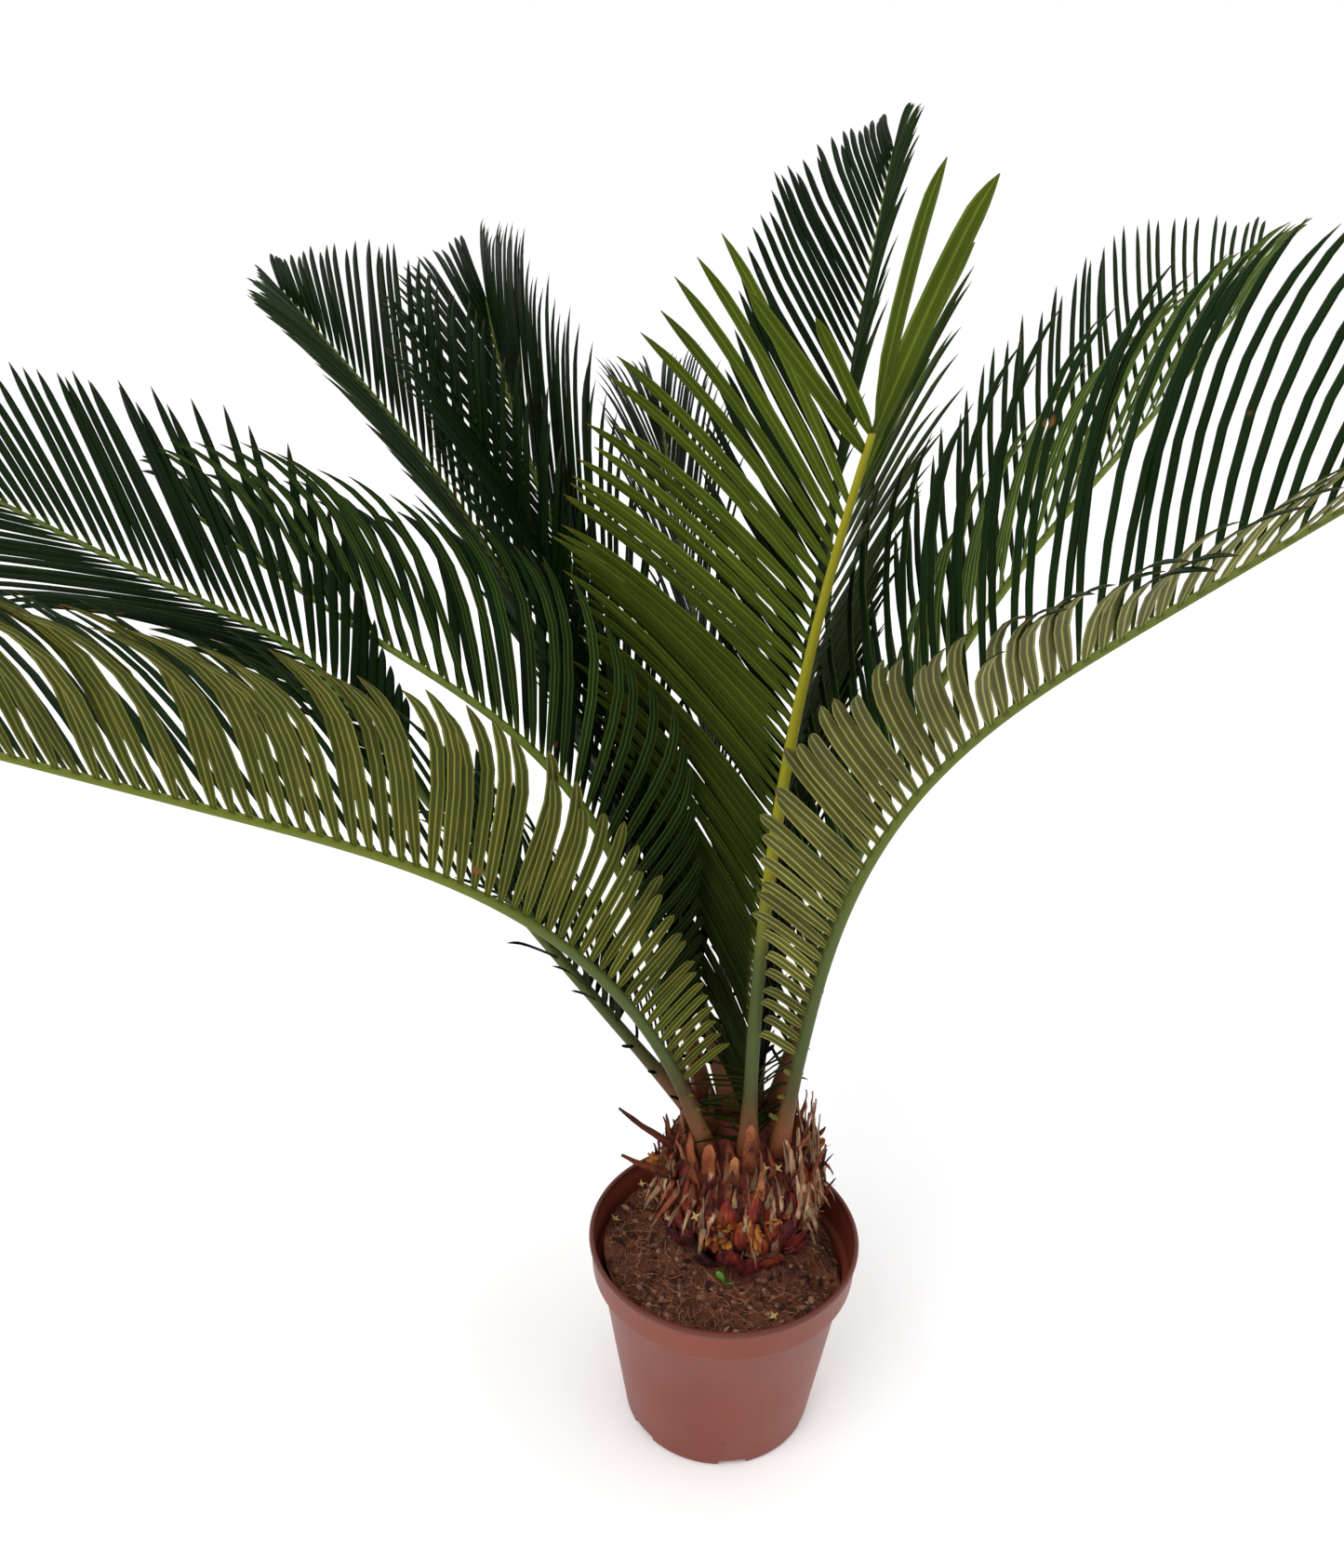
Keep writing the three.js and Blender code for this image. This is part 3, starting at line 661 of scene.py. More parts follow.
scales.data.materials.append(fibrous(
    "leaf_base_maroon",
    ((0.0, "230e0d"), (1.0, "a35c30"), (0.2, "431922"), (0.42, "681f1c"), (0.62, "86301c"),
     (0.82, "944a25")), 0.5, 0.7))

# Dry tails of those leaf bases and torn sheaths: thin papery strips that stand against the stem, or hang
# curled where they have torn, in tan, grey-green and rust.
PRESSED = 300
HANGING = 9
# Where on the stem more strips hang at the front: the azimuth and height of each.
HANGING_IN_FRONT = ((-142, 40), (-134, 42), (-127, 40), (-118, 43), (-150, 41), (-160, 36), (-112, 38))
SHEAF = 60
PAPER_STATIONS = np.array([0, 0.1, 0.25, 0.42, 0.6, 0.76, 0.9, 1.0])
PAPER_OUTLINE = np.array([0.8, 1.0, 0.95, 0.8, 0.62, 0.42, 0.22, 0.04])
PAPER_POINTS = len(PAPER_STATIONS)
# Round a strip: arched over its outer face, and hollow behind.
PAPER_SECTION = ((1, -0.9), (0.5, 0.3), (0, 0.7), (-0.5, 0.3), (-1, -0.9), (-0.5, -0.5), (0, -0.1),
                 (0.5, -0.5))


def torn_strip(foot, azimuth, lean, curl, length, sway, facing, wide, ragged, thick, twist, tone):
    """A row for `blades`: a papery strip whose edge is torn by `ragged` shares of its width."""
    line = leaned(foot, azimuth, lean, curl, length, PAPER_STATIONS, sway)
    return line, facing, wide * PAPER_OUTLINE * ragged, np.full(PAPER_POINTS, thick), twist, tone


rows = []
for foot, azimuth in tops:
    for _ in range(int(rng.integers(1, 3))):
        rows.append(torn_strip(
            foot - 1.5 * direction(azimuth, 0), azimuth, rng.uniform(-8, 16), rng.uniform(-20, 20),
            rng.uniform(7, 17), rng.normal(0, 22), azimuth + rng.normal(0, 20), rng.uniform(2, 4.8),
            rng.uniform(0.8, 1.2, PAPER_POINTS), rng.uniform(0.6, 1.2), rng.normal(0, 0.9),
            rng.uniform(0, 1)))
# Torn fibre covers the rest: narrow strips that lie along the stem, mostly maroon and rust.
for _ in range(PRESSED):
    azimuth, height = rng.uniform(0, 360), 52 * rng.uniform(0, 1) ** 0.8
    tone = rng.uniform(0, 0.45) if rng.uniform() < 0.72 else rng.uniform(0.5, 1)
    rows.append(torn_strip(
        on_caudex(azimuth, height, rng.uniform(0.6, 2.6)), azimuth,
        skin_slope(height, height + 6, 6) + rng.normal(4, 7), rng.normal(0, 12), rng.uniform(7, 17),
        rng.normal(0, 16), azimuth, rng.uniform(1.2, 3), rng.uniform(0.7, 1.3, PAPER_POINTS),
        rng.uniform(0.5, 1), rng.normal(0, 0.8), tone))
hung = [(rng.uniform(0, 360), rng.uniform(26, 42)) for _ in range(HANGING)]
for azimuth, height in (*hung, *HANGING_IN_FRONT):
    rows.append(torn_strip(
        on_caudex(azimuth, height, 0.8), azimuth, rng.uniform(120, 150), rng.uniform(10, 40),
        rng.uniform(12, 22), rng.normal(0, 20), azimuth, rng.uniform(2.2, 4.2),
        rng.uniform(0.7, 1.3, PAPER_POINTS), rng.uniform(0.5, 1), rng.normal(0, 1.2),
        rng.uniform(0.4, 0.85)))
# A ragged sheaf of long strips stands at the right, below the frond that rises there.
for _ in range(SHEAF):
    azimuth, height = rng.uniform(-52, 30), rng.uniform(10, 52)
    rows.append(torn_strip(
        on_caudex(azimuth, height, 0.6), azimuth, rng.uniform(-16, 2), rng.uniform(-12, 6),
        rng.uniform(14, 28), rng.normal(0, 8), azimuth, rng.uniform(2.6, 5.2),
        rng.uniform(0.8, 1.2, PAPER_POINTS), rng.uniform(0.6, 1.1), rng.normal(0, 0.5),
        rng.uniform(0.8, 1)))
tails = blades(rows, PAPER_SECTION, PAPER_STATIONS)

# Cataphylls: pointed, rusty, woolly sheaths round the stalks. Two long ones stick out at the left, and
# blunt pegs and broad tan ones stand at the front.
CATAPHYLLS = 40
CATAPHYLL_TURN = 11
SPEAR_OUTLINE = np.array([1.0, 1.0, 0.9, 0.76, 0.6, 0.42, 0.22, 0.04])
PEG_OUTLINE = np.array([1.0, 1.0, 0.95, 0.9, 0.86, 0.82, 0.7, 0.3])
# Those that stand out: azimuth, height on the stem, lean, curl, length, width, outline and tone of each.
OUTSTANDING = (
    (-176, 47, 54, -8, 34, 6.5, SPEAR_OUTLINE, 0.1), (-158, 41, 62, -12, 30, 8.0, SPEAR_OUTLINE, 0.15),
    (-10, 36, 24, 10, 15, 2.4, SPEAR_OUTLINE, 0.0), (-14, 50, 8, 4, 24, 4.0, SPEAR_OUTLINE, 0.5),
    (-99, 49, 10, -6, 15, 4.8, PEG_OUTLINE, 0.9), (-86, 53, 4, -4, 24, 6.4, PEG_OUTLINE, 0.7),
    (-122, 49, 16, -30, 17, 7.0, PEG_OUTLINE, 0.6), (-140, 49, 14, -10, 22, 7.0, SPEAR_OUTLINE, 0.6),
)
rows = []
for i in range(CATAPHYLLS):
    azimuth = GOLDEN_ANGLE * i + CATAPHYLL_TURN
    radius = 14 + 19 * (i / (CATAPHYLLS - 1)) ** 0.7
    foot = CAUDEX_FOOT + (radius - 1.0) * direction(azimuth, 0) + (0, 0, dome_height(radius) - 4)
    length = rng.uniform(11, 18) if i % 3 else rng.uniform(18, 25)
    lean = 3 + 0.5 * radius + rng.normal(0, 5)
    line = leaned(foot, azimuth, lean, rng.uniform(-16, 12), length, PAPER_STATIONS, rng.normal(0, 8))
    rows.append((line, azimuth, rng.uniform(4.8, 7.8) * SPEAR_OUTLINE,
                 np.linspace(2.8, 0.9, PAPER_POINTS), rng.normal(0, 0.35), rng.uniform(0.2, 1)))
for azimuth, height, lean, curl, length, width, outline, tone in OUTSTANDING:
    line = leaned(on_caudex(azimuth, height, -2), azimuth, lean, curl, length, PAPER_STATIONS)
    thick = np.linspace(0.55, 0.2, PAPER_POINTS) * width
    rows.append((line, azimuth, width * outline, thick, 0.2, tone))
spears = blades(rows, PAPER_SECTION, PAPER_STATIONS, slot=1)

# Cut stubs: leaf stalks trimmed off short, whose ends have frayed into ragged orange fibre.
STUB_SLIVERS = 7
STUB_OUTLINE = np.array([0.8, 0.95, 1.0, 0.98, 0.9, 0.75, 0.5, 0.15])
# The azimuth, height, lean and length of each stub, and how wide it spreads in degrees.
STUBS = (
    (-101, 33, 62, 7, 4), (-84, 35, 128, 11, 3), (-80, 28, 40, 7, 3), (-105, 27, 84, 6, 4),
    (-70, 34, 60, 6, 4), (24, 36, 60, 7, 5), (75, 38, 70, 7, 5), (130, 33, 60, 7, 5), (178, 35, 60, 7, 5),
)
rows = []
for azimuth, height, lean, length, spread in STUBS:
    for _ in range(STUB_SLIVERS):
        own = azimuth + rng.normal(0, spread)
        line = leaned(on_caudex(own, height + rng.normal(0, 1.2), 0.2), own, lean + rng.normal(0, 12),
                      rng.normal(0, 10), length * rng.uniform(0.7, 1.1), PAPER_STATIONS)
        rows.append((line, own, rng.uniform(2.4, 4.4) * STUB_OUTLINE,
                     np.full(PAPER_POINTS, rng.uniform(1, 1.8)), rng.normal(0, 0.4), rng.uniform(0, 1)))
stubs = blades(rows, PAPER_SECTION, PAPER_STATIONS, slot=2)

# Wool and loose fibre on the stem: hair-thin wisps that have come off the leaf bases and curl every way.
WISPS = 160
WISP_WIDTH = 0.28
rows = []
for _ in range(WISPS):
    azimuth = rng.uniform(0, 360)
    line = leaned(on_caudex(azimuth, rng.uniform(4, 56), 0.8), azimuth, rng.uniform(-20, 40),
                  rng.uniform(-60, 60), rng.uniform(4, 9), PAPER_STATIONS, rng.normal(0, 40))
    thick = np.full(PAPER_POINTS, WISP_WIDTH)
    rows.append((line, azimuth, thick, thick, 0, rng.uniform(0.4, 1)))
wisps = blades(rows, FIBRE_SECTION, PAPER_STATIONS)
# Papery sheath tissue runs from maroon over rust and grey-green to tan, a cataphyll is felted with rusty
# wool, and a cut stalk shows its orange fibre.
papery = fibrous(
    "sheath_papery",
    ((0.0, "3b1512"), (1.0, "d0a684"), (0.2, "6a241a"), (0.4, "8f4327"), (0.6, "7a7150"),
     (0.8, "aa7354")), 0.35, 0.75)
woolly = fibrous(
    "cataphyll_woolly",
    ((0.0, "3f1d12"), (1.0, "a8704a"), (0.35, "6f361d"), (0.65, "8a4b2b")), 0.35, 0.85, wool=0.6)
frayed = fibrous("cut_stub_fibre", ((0.0, "7c3516"), (1.0, "bd7f3a"), (0.5, "9f5823")), 0.4, 0.85)
papers = joined("caudex_sheaths", [tails, spears, stubs, wisps], [papery, woolly, frayed])
roughened(papers, 4.0, 0.7)


# Fallen florets: small dried four-pointed stars that have dropped on the peat and on the stem. Each is one
# thin dished body.
FLORET_SIZE = 2.4
FLORET_THICKNESS = 0.45
# Round a floret, by turns a petal's tip and the notch beside it: the reach and rise of each, as shares of
# the floret's size.
PETAL_RING = [(1.0, 0.35) if i % 2 == 0 else (0.34, 0.0) for i in range(8)]
# The place, tilt and turn of each.
FLORETS = (
    ((-37.6, 38.4, 88.2), (0.1, -0.2), 0.3), ((-49, 14, 88.9), (0.3, 0.1), 1.0),
    ((20.7, -38.2, 85.4), (-0.1, -0.3), 0.6), ((15.9, -7.2, 138.0), (0.2, -0.6), 0.2),
    ((21.6, -5.8, 137.0), (0.4, -0.5), 0.9), (on_caudex(-121, 36, 4.0), (-0.5, -0.9), 0.5),
)
points, faces = [], []
for place, tilt, turn in FLORETS:
    up = unit(np.array([*tilt, 1.0]))
    side = unit(np.cross(up, (math.cos(turn), math.sin(turn), 0)))
    fore = np.cross(up, side)
    base = len(points)
    for lift in (0.0, FLORET_THICKNESS):
        points.append(np.array(place) + up * lift)
        for i, (reach, rise) in enumerate(PETAL_RING):
            angle = math.tau * i / 8
            outward = math.cos(angle) * side + math.sin(angle) * fore
            points.append(np.array(place) + FLORET_SIZE * reach * outward
                          + up * (lift * 0.6 + rise * FLORET_SIZE))
    for i in range(8):
        a, b = base + 1 + i, base + 1 + (i + 1) % 8
        faces += [(base, b, a), (base + 9, a + 9, b + 9), (a, b, b + 9, a + 9)]
mesh = bpy.data.meshes.new("fallen_florets")
mesh.from_pydata([tuple(point * MM) for point in points], [], faces)
florets = bpy.data.objects.new("fallen_florets", mesh)
bpy.context.collection.objects.link(florets)
faced_outward(florets)

# A fallen floret has dried matt, from straw to pale buff.
petal, tree, shader = new_material("floret_dry_petal", 0.7)
place = add(tree, "ShaderNodeTexCoord").outputs["Object"]
patch = add(tree, "ShaderNodeTexNoise", {"Vector": place, "Scale": 400.0, "Detail": 3.0})
petal_tint = add(tree, "ShaderNodeValToRGB", {0: patch.outputs[0]},
                 stops=((0.3, "8f6f33"), (0.7, "cdb878")))
linked(tree, shader, petal_tint.outputs[0])
florets.data.materials.append(petal)
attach(florets, "root")

# Seedling: a weed that has come up in the peat at the front, with two round seed leaves that arch outward
# from one point.
SEEDLING_FOOT = np.array([0.4, -20.5, 85.4])
SEEDLING_STATIONS = np.array([0, 0.15, 0.3, 0.5, 0.7, 0.88, 1.0])
SEED_LEAF_OUTLINE = np.array([0.16, 0.16, 0.5, 0.95, 1.0, 0.7, 0.15])
# The azimuth, lean, length and width of each seed leaf.
SEED_LEAVES = ((150, 30, 6.5, 3.6), (-30, 50, 5.0, 2.8))
rows = []
for azimuth, lean, length, width in SEED_LEAVES:
    line = leaned(SEEDLING_FOOT, azimuth, lean, 20, length, SEEDLING_STATIONS)
    thick = np.full(len(SEEDLING_STATIONS), 0.7)
    rows.append((line, azimuth - 70, width * SEED_LEAF_OUTLINE, thick, 0.3, rng.uniform(0, 1)))
seedling = joined("seedling_leaves", [blades(rows, PAPER_SECTION, SEEDLING_STATIONS)], [])

# A fresh seed leaf is thin, bright green and half glossy.
green, tree, shader = new_material("seedling_fresh_leaf", 0.45)
place = add(tree, "ShaderNodeTexCoord").outputs["Object"]
patch = add(tree, "ShaderNodeTexNoise", {"Vector": place, "Scale": 500.0, "Detail": 2.0})
green_tint = add(tree, "ShaderNodeValToRGB", {0: patch.outputs[0]},
                 stops=((0.3, "3f7416"), (0.7, "5f9a26")))
linked(tree, shader, green_tint.outputs[0])
seedling.data.materials.append(green)


# Fronds: a grooved stalk that becomes the rib, and two rows of narrow leathery leaflets that stand up
# from it in a V. Each leaflet is dark and glossy above, and paler, ribbed and rolled at the edges below.
STALK_TAPER = 0.13
BASE_WIDTH, RIB_WIDTH, TIP_WIDTH = 8.4, 5.6, 1.8
# A stalk's foot flares by this share, and the flare fades over this share of the rib.
FLARE, FLARE_REACH = 0.5, 0.02
RIB_STEPS = 50
# One row of leaflets: their width in millimetres, how they bow forward at the row's inner and outer end,
# how they arch back, how far the tips hook in degrees, how far each blade turns about its own line in
# radians, and how far its outer part sweeps towards the frond's tip and how far the whole blade leans off
# the row's angle, in degrees at the row's inner and outer end.
Row = namedtuple("Row", "width forward arch hook turn sweep lean", defaults=(0, (0, 0), (0, 0)))
# Thin curly leaflets crowd the foot of the front frond, and small ones the stalk of the left lower one.
CURLY = Row(1.5, (0.15, 0.15), 0.2, 60, 0.3)
SMALL = Row(3.0, (0.1, 0.1), 0.12, 25, 0.3)
# Short spines line every stalk: how many to a side, the shares of the stalk that they span, their
# lengths, how far they lean off the rib and how far they rise.
SPINE = Row(1.9, (0.1, 0.1), 0.1, 10)
SPINES = 3
SPINE_SPAN = (0.35, 0.85)
SPINE_LENGTHS = (7, 13)
SPINE_LEAN = (40, 60)
SPINE_RISE = 10
# The broad leaflets that end a frond: their rows on the left and right side.
END_ROWS = {1: Row(7.8, (0, 0), 0.05, 8, -0.9), -1: Row(5, (0, 0), 0.05, 8)}
# Each frond follows the part's own rule: where it leaves the caudex, the azimuth, rise, droop, bend and
# swing of its rib, and how its two rows of leaflets roll, stand up, open, grow and fade. To this come its
# look, the mean spacing of its leaflets in millimetres, and its two rows: the left one and then the right
# one, seen from the foot. `until` is the share where the rows stop, `close` the spacing of the innermost
# leaflets against the mean, `pale` how much paler the outer leaflets are, and `stout` how thick the rib's
# tip is against the usual one. `comb` adds leaflets on the stalk: how many, their span of the rib, and
# their lengths, lean off the rib and rise, each from and to, and their row. `ends` gives each leaflet that
# ends the frond: its side, and its share of the rib, length, width, lean off the rib and rise.
USUAL = dict(leafy=0.13, first=0.0, grown=0.42, until=1.0, stout=1.0, close=0.72, pale=0.35,
             comb=(), ends=())
FRONDS = (
    dict(name="front", seat=(-85, 17), azimuth=-66, rise=91, droop=71, bend=(-0.1, 1.23), swing=15,
         length=315, roll=-16, vee=62, angles=(45, 79), leaflet=116, last=0.68, leafy=0.05, grown=0.25,
         look="near", spacing=4.7, until=0.92, stout=1.45,
         rows=(Row(4.2, (0.1, 0.1), 0.05, 15, 0.85), Row(5, (-0.05, 0), 0.12, 10)),
         comb=(16, (0.02, 0.13), (18, 30), (72, 92), (0, 40), CURLY),
         ends=((1, 1.0, 82, 7.4, 23, 48), (1, 0.99, 88, 8.6, 30, 24), (1, 0.97, 80, 7.8, 42, 27),
               (1, 0.93, 62, 4.6, 58, 29), (-1, 1.0, 42, 4.4, 40, 34), (-1, 0.98, 75, 5.4, 49, 12))),
    dict(name="front_right", seat=(-42, 20), azimuth=-42, rise=81, droop=42, bend=(0.13, 0.76), swing=-6,
         length=402, roll=36, vee=49, angles=(49, 45), leaflet=124, last=0.47,
         look="side", spacing=7.0, close=1.0,
         rows=(Row(3.4, (0.1, 0.2), 0.12, 20), Row(5, (0, 0), 0.1, 16, 0, (-12, 22)))),
    dict(name="right", seat=(34, 17), azimuth=38, rise=72, droop=26, bend=(0.09, 0.66), swing=13,
         length=522, roll=0, vee=88, angles=(48, 59), leaflet=100, last=0.41,
         look="right", spacing=8.9,
         rows=(Row(3.7, (0.2, 0.26), 0.08, 12), Row(4, (0.12, 0.12), 0.12, 30, 0.4))),
    dict(name="back_right", seat=(70, 12), azimuth=73, rise=66, droop=24, bend=(0.27, 1.2), swing=5,
         length=496, roll=-24, vee=62, angles=(49, 26), leaflet=97, last=0.34,
         look="back", spacing=7.2,
         rows=(Row(3.9, (0, 0), 0.1, 15, 0, (10, 18)), Row(3.6, (0.1, 0.1), 0.1, 10, 0.7))),
    dict(name="back", seat=(101, 21), azimuth=101, rise=67, droop=21, bend=(0.15, 0.63), swing=-6,
         length=436, roll=-9, vee=80, angles=(53, 25), leaflet=110, last=0.46,
         look="back", spacing=7.0,
         rows=(Row(4.1, (0.12, 0.12), 0.1, 15), Row(4.1, (0.12, 0.12), 0.1, 15))),
    dict(name="back_left", seat=(123, 8), azimuth=131, rise=62, droop=30, bend=(0.2, 0.68), swing=-28,
         length=467, roll=-26, vee=68, angles=(47, 17), leaflet=129, last=0.46,
         look="back", spacing=7.2,
         rows=(Row(4.6, (0.12, 0.12), 0.1, 15), Row(4.6, (0.12, 0.12), 0.1, 15))),
    dict(name="left_back", seat=(140, 20), azimuth=130, rise=75, droop=21, bend=(-0.23, 0.88), swing=-3,
         length=528, roll=-21, vee=64, angles=(44, 33), leaflet=107, last=0.3,
         look="back", spacing=7.6,
         rows=(Row(4.6, (0.12, 0.12), 0.1, 5, 0.8, (0, 0), (-10, -10)), Row(4.8, (0.1, 0.1), 0.1, 15))),
    dict(name="left_upper", seat=(165, 22), azimuth=180, rise=76, droop=23, bend=(0.21, 0.69), swing=-32,
         length=375, roll=24, vee=61, angles=(47, 39), leaflet=100, last=0.34,
         look="upper", spacing=8.2,
         rows=(Row(4.3, (0, 0.1), 0.15, 22, 0, (10, 22)),
               Row(4, (0, 0.1), 0.15, 20, 0, (10, 22), (4, -17)))),
    dict(name="left_lower", seat=(198, 15), azimuth=170, rise=49, droop=16, bend=(0.51, 0.64), swing=-16,
         length=466, roll=-34, vee=49, angles=(51, 34), leaflet=103, last=0.59, first=0.36, grown=0.2,
         look="back", spacing=6.6,
         rows=(Row(4, (0.1, 0.15), 0.1, 34, -0.2, (0, 0), (12, 2)), Row(4.1, (0.05, 0.05), 0.05, 8)),
         comb=(26, (0.14, 0.4), (24, 44), (45, 60), (5, 80), SMALL)),
    dict(name="front_left", seat=(222, 21), azimuth=205, rise=74, droop=26, bend=(-0.07, 0.63), swing=-1,
         length=432, roll=15, vee=40, angles=(55, 48), leaflet=117, last=0.37, leafy=0.1,
         look="left", spacing=6.0, close=1.0, pale=-0.2,
         rows=(Row(4.7, (0, 0), 0.12, 14, 0, (-4, 40)), Row(3.6, (0.05, 0.1), 0.1, 12, 0, (0, 12)))),
)
# Three leaf colours a look: the upper face, the under face's grooves, and its rolled edges and midrib.
# Each look is the same leaf made lighter or darker by where its fronds stand in the crown: painted light
# and shade.
LEAF_LOOKS = {
    "near": ("22300c", "39460f", "566521"),
    "side": ("14260e", "4a4b1d", "9a9650"),
    "left": ("14260e", "3b3e12", "7c7c36"),
    "right": ("13250a", "2f3f16", "6b7f3c"),
    "upper": ("0f2008", "1e2e0e", "4d622a"),
    "back": ("0d1c07", "15240a", "304320"),
}
# The rib's green for each look, also lighter or darker by where its fronds stand in the crown: partly its
# own colour and partly painted light and shade.
RIB_LOOKS = {"near": "8f8a1c", "side": "5e6729", "left": "676f28", "right": "5c6b26", "upper": "5c6b26",
             "back": "4a5a20"}
BLADE_STATIONS = np.array([0, 0.04, 0.12, 0.28, 0.46, 0.63, 0.76, 0.85, 0.91, 0.96, 1.0])
BLADE_OUTLINE = np.array([0.42, 0.62, 0.86, 1.0, 1.0, 0.98, 0.93, 0.84, 0.68, 0.42, 0.05])
BLADE_THICKNESS = 0.9
# A leaflet starts beside the rib's middle, by this share of the rib's width.
ROOT_ASIDE = 0.3
# Round a leaflet: from one edge over the upper face to the other edge, and back below with its midrib.
BLADE_SECTION = ((-1, -0.55), (-0.5, 0.35), (0, 0.22), (0.5, 0.35), (1, -0.55), (0.6, -0.12), (0, -0.75),
                 (-0.6, -0.12))
# Painted shade darkens the leaflets near the crown's heart: for each look, the distances in metres within
# which the painted shade is deepest and beyond which they have their full colour, and how much of it they
# have inside.
CROWN_HEART = (0.007, 0.016, 0.146)
CROWN_PAINTED_SHADES = {"near": (0.07, 0.27, 0.2), "side": (0.03, 0.1, 0.8), "left": (0.03, 0.1, 0.8),
                "right": (0.06, 0.24, 0.32), "upper": (0.06, 0.24, 0.32), "back": (0.06, 0.24, 0.32)}
# A row's last leaflets lie closer to the rib by the first share, and rise less by the second one.
GATHERED = 0.55
FLATTENED = 0.35
# The first and the last leaflets of a row are narrower by these factors.
INNER_WIDTH, OUTER_WIDTH = 0.75, 0.85
# Tips hook over the last part of a leaflet, the inner ones more than the outer, and some inner ones curl.
HOOKS_FROM, HOOKS_TO = 0.74, 1.06
INNER_HOOK, OUTER_HOOK = 1.7, 0.7
CURLED_SHARE = 0.25
CURL = 1.7
# A swept blade is straight as far as the first of these shares of its length, and bends over the second.
SWEEP_FROM, SWEEP_OVER = 0.42, 0.5
LINE_STEPS = 40
# How far leaflets differ in tone.
TONE_SPREAD = 0.65


def smooth(x):
    x = np.clip(x, 0, 1)
    return x * x * (3 - 2 * x)


def lerp(a, b, x):
    return a + (b - a) * x


def rib_frames(frond):
    """The middle line of a frond's rib in millimetres, and the directions along, across and out of it."""
    share = np.linspace(0, 1, RIB_STEPS + 1)
    low, high = frond["bend"]
    elevation = lerp(frond["rise"], frond["droop"], smooth((share - low) / (high - low)))
    azimuth = frond["azimuth"] + frond["swing"] * share
    along = direction(azimuth, elevation)
    seat_azimuth, seat_radius = frond["seat"]
    start = CAUDEX_FOOT + seat_radius * direction(seat_azimuth, 0) + (0, 0, dome_height(seat_radius))
    steps = 0.5 * (along[1:] + along[:-1]) * frond["length"] / RIB_STEPS
    points = start + np.concatenate([np.zeros((1, 3)), np.cumsum(steps, 0)])
    across = direction(azimuth + 90, 0)
    return share, points, along, across, np.cross(along, across)


def at(frames, share):
    """The rib's point and directions at shares of its length."""
    return [np.stack([np.interp(share, frames[0], values[:, i]) for i in range(3)], -1)
            for values in frames[1:]]


def rib_width(share):
    lower = lerp(BASE_WIDTH, RIB_WIDTH, smooth(share / STALK_TAPER))
    upper = lerp(RIB_WIDTH, TIP_WIDTH, (share - STALK_TAPER) / (1 - STALK_TAPER))
    return np.where(share < STALK_TAPER, lower, upper)


def leaflet_length(frond, along):
    """The length in millimetres of the leaflets from the first pair (0) to the last (1)."""
    growing = lerp(0.28, 1, smooth((along - frond["first"]) / frond["grown"]))
    fading = 1 - (1 - frond["last"]) * np.clip((along - 0.6) / 0.4, 0, 1) ** 1.5
    return frond["leaflet"] * growing * fading


def leaflets(frames, side, share, lengths, widths, angles, raised, row, hooks, tones):
    """The skins of one row: side is 1 for the row on the left of the rib, seen from its foot. Each
    leaflet starts nearly square to the rib, sweeps forward, and hooks back at its tip. The straight line
    from its root to its tip stays at its angle, because each bend turns as far one way as the other."""
    point, forth, across, face = at(frames, share)
    raised = np.radians(raised)[:, None]
    angles = np.radians(angles)[:, None]
    aside = side * np.cos(raised) * across + np.sin(raised) * face
    out = np.cos(angles) * forth + np.sin(angles) * aside
    edge = unit(forth - (forth * out).sum(1, keepdims=True) * out)
    under = np.cross(out, edge) * side
    root = point + aside * (rib_width(share) * ROOT_ASIDE)[:, None]
    fine = np.linspace(0, 1, LINE_STEPS + 1)[None, :]
    curl = rng.normal(1, 0.12, len(share))[:, None]
    bow = 3 * fine ** 2 - 1
    bend = smooth((fine - SWEEP_FROM) / SWEEP_OVER)
    ahead = lerp(*row.forward, share)[:, None] * curl * bow
    ahead += np.radians(lerp(*row.sweep, share))[:, None] * curl * (bend - bend.mean())
    hooking = smooth((fine - HOOKS_FROM) / (HOOKS_TO - HOOKS_FROM))
    sag = row.arch * curl * bow + np.radians(hooks)[:, None] * hooking
    heading = ((np.cos(sag) * np.cos(ahead))[:, :, None] * out[:, None]
               + (np.cos(sag) * np.sin(ahead))[:, :, None] * edge[:, None]
               + np.sin(sag)[:, :, None] * under[:, None])
    path = np.cumsum(0.5 * (heading[:, 1:] + heading[:, :-1]), 1) / LINE_STEPS * lengths[:, None, None]
    path = root[:, None] + np.concatenate([np.zeros((len(share), 1, 3)), path], 1)
    nearest = np.round(BLADE_STATIONS * LINE_STEPS).astype(int)
    lines, tangent = path[:, nearest], unit(heading[:, nearest])
    sides = unit(edge[:, None] - (edge[:, None] * tangent).sum(2, keepdims=True) * tangent)
    turn = row.turn * side * smooth(BLADE_STATIONS / 0.2) * rng.normal(1, 0.15, (len(share), 1))
    sides = turned_about(sides, tangent, turn)
    normals = np.cross(sides, tangent) * side
    section = BLADE_SECTION if side > 0 else [(-x, y) for x, y in BLADE_SECTION]
    wide = widths[:, None] * BLADE_OUTLINE[None, :]
    thick = np.full_like(wide, BLADE_THICKNESS) * np.clip(BLADE_OUTLINE * 1.4, 0.1, 1)[None, :]
    return skins(lines * MM, sides, normals, wide * MM, thick * MM, section, BLADE_STATIONS, tones)


# A leaflet's roughness on its waxy upper face and on its matt under face, its yellower foot, and its dry
# spots and tip.
UPPER_ROUGHNESS, UNDER_ROUGHNESS = 0.4, 0.62
FOOT_COLOUR = "5a6420"
DRY_COLOUR = "6d4a22"


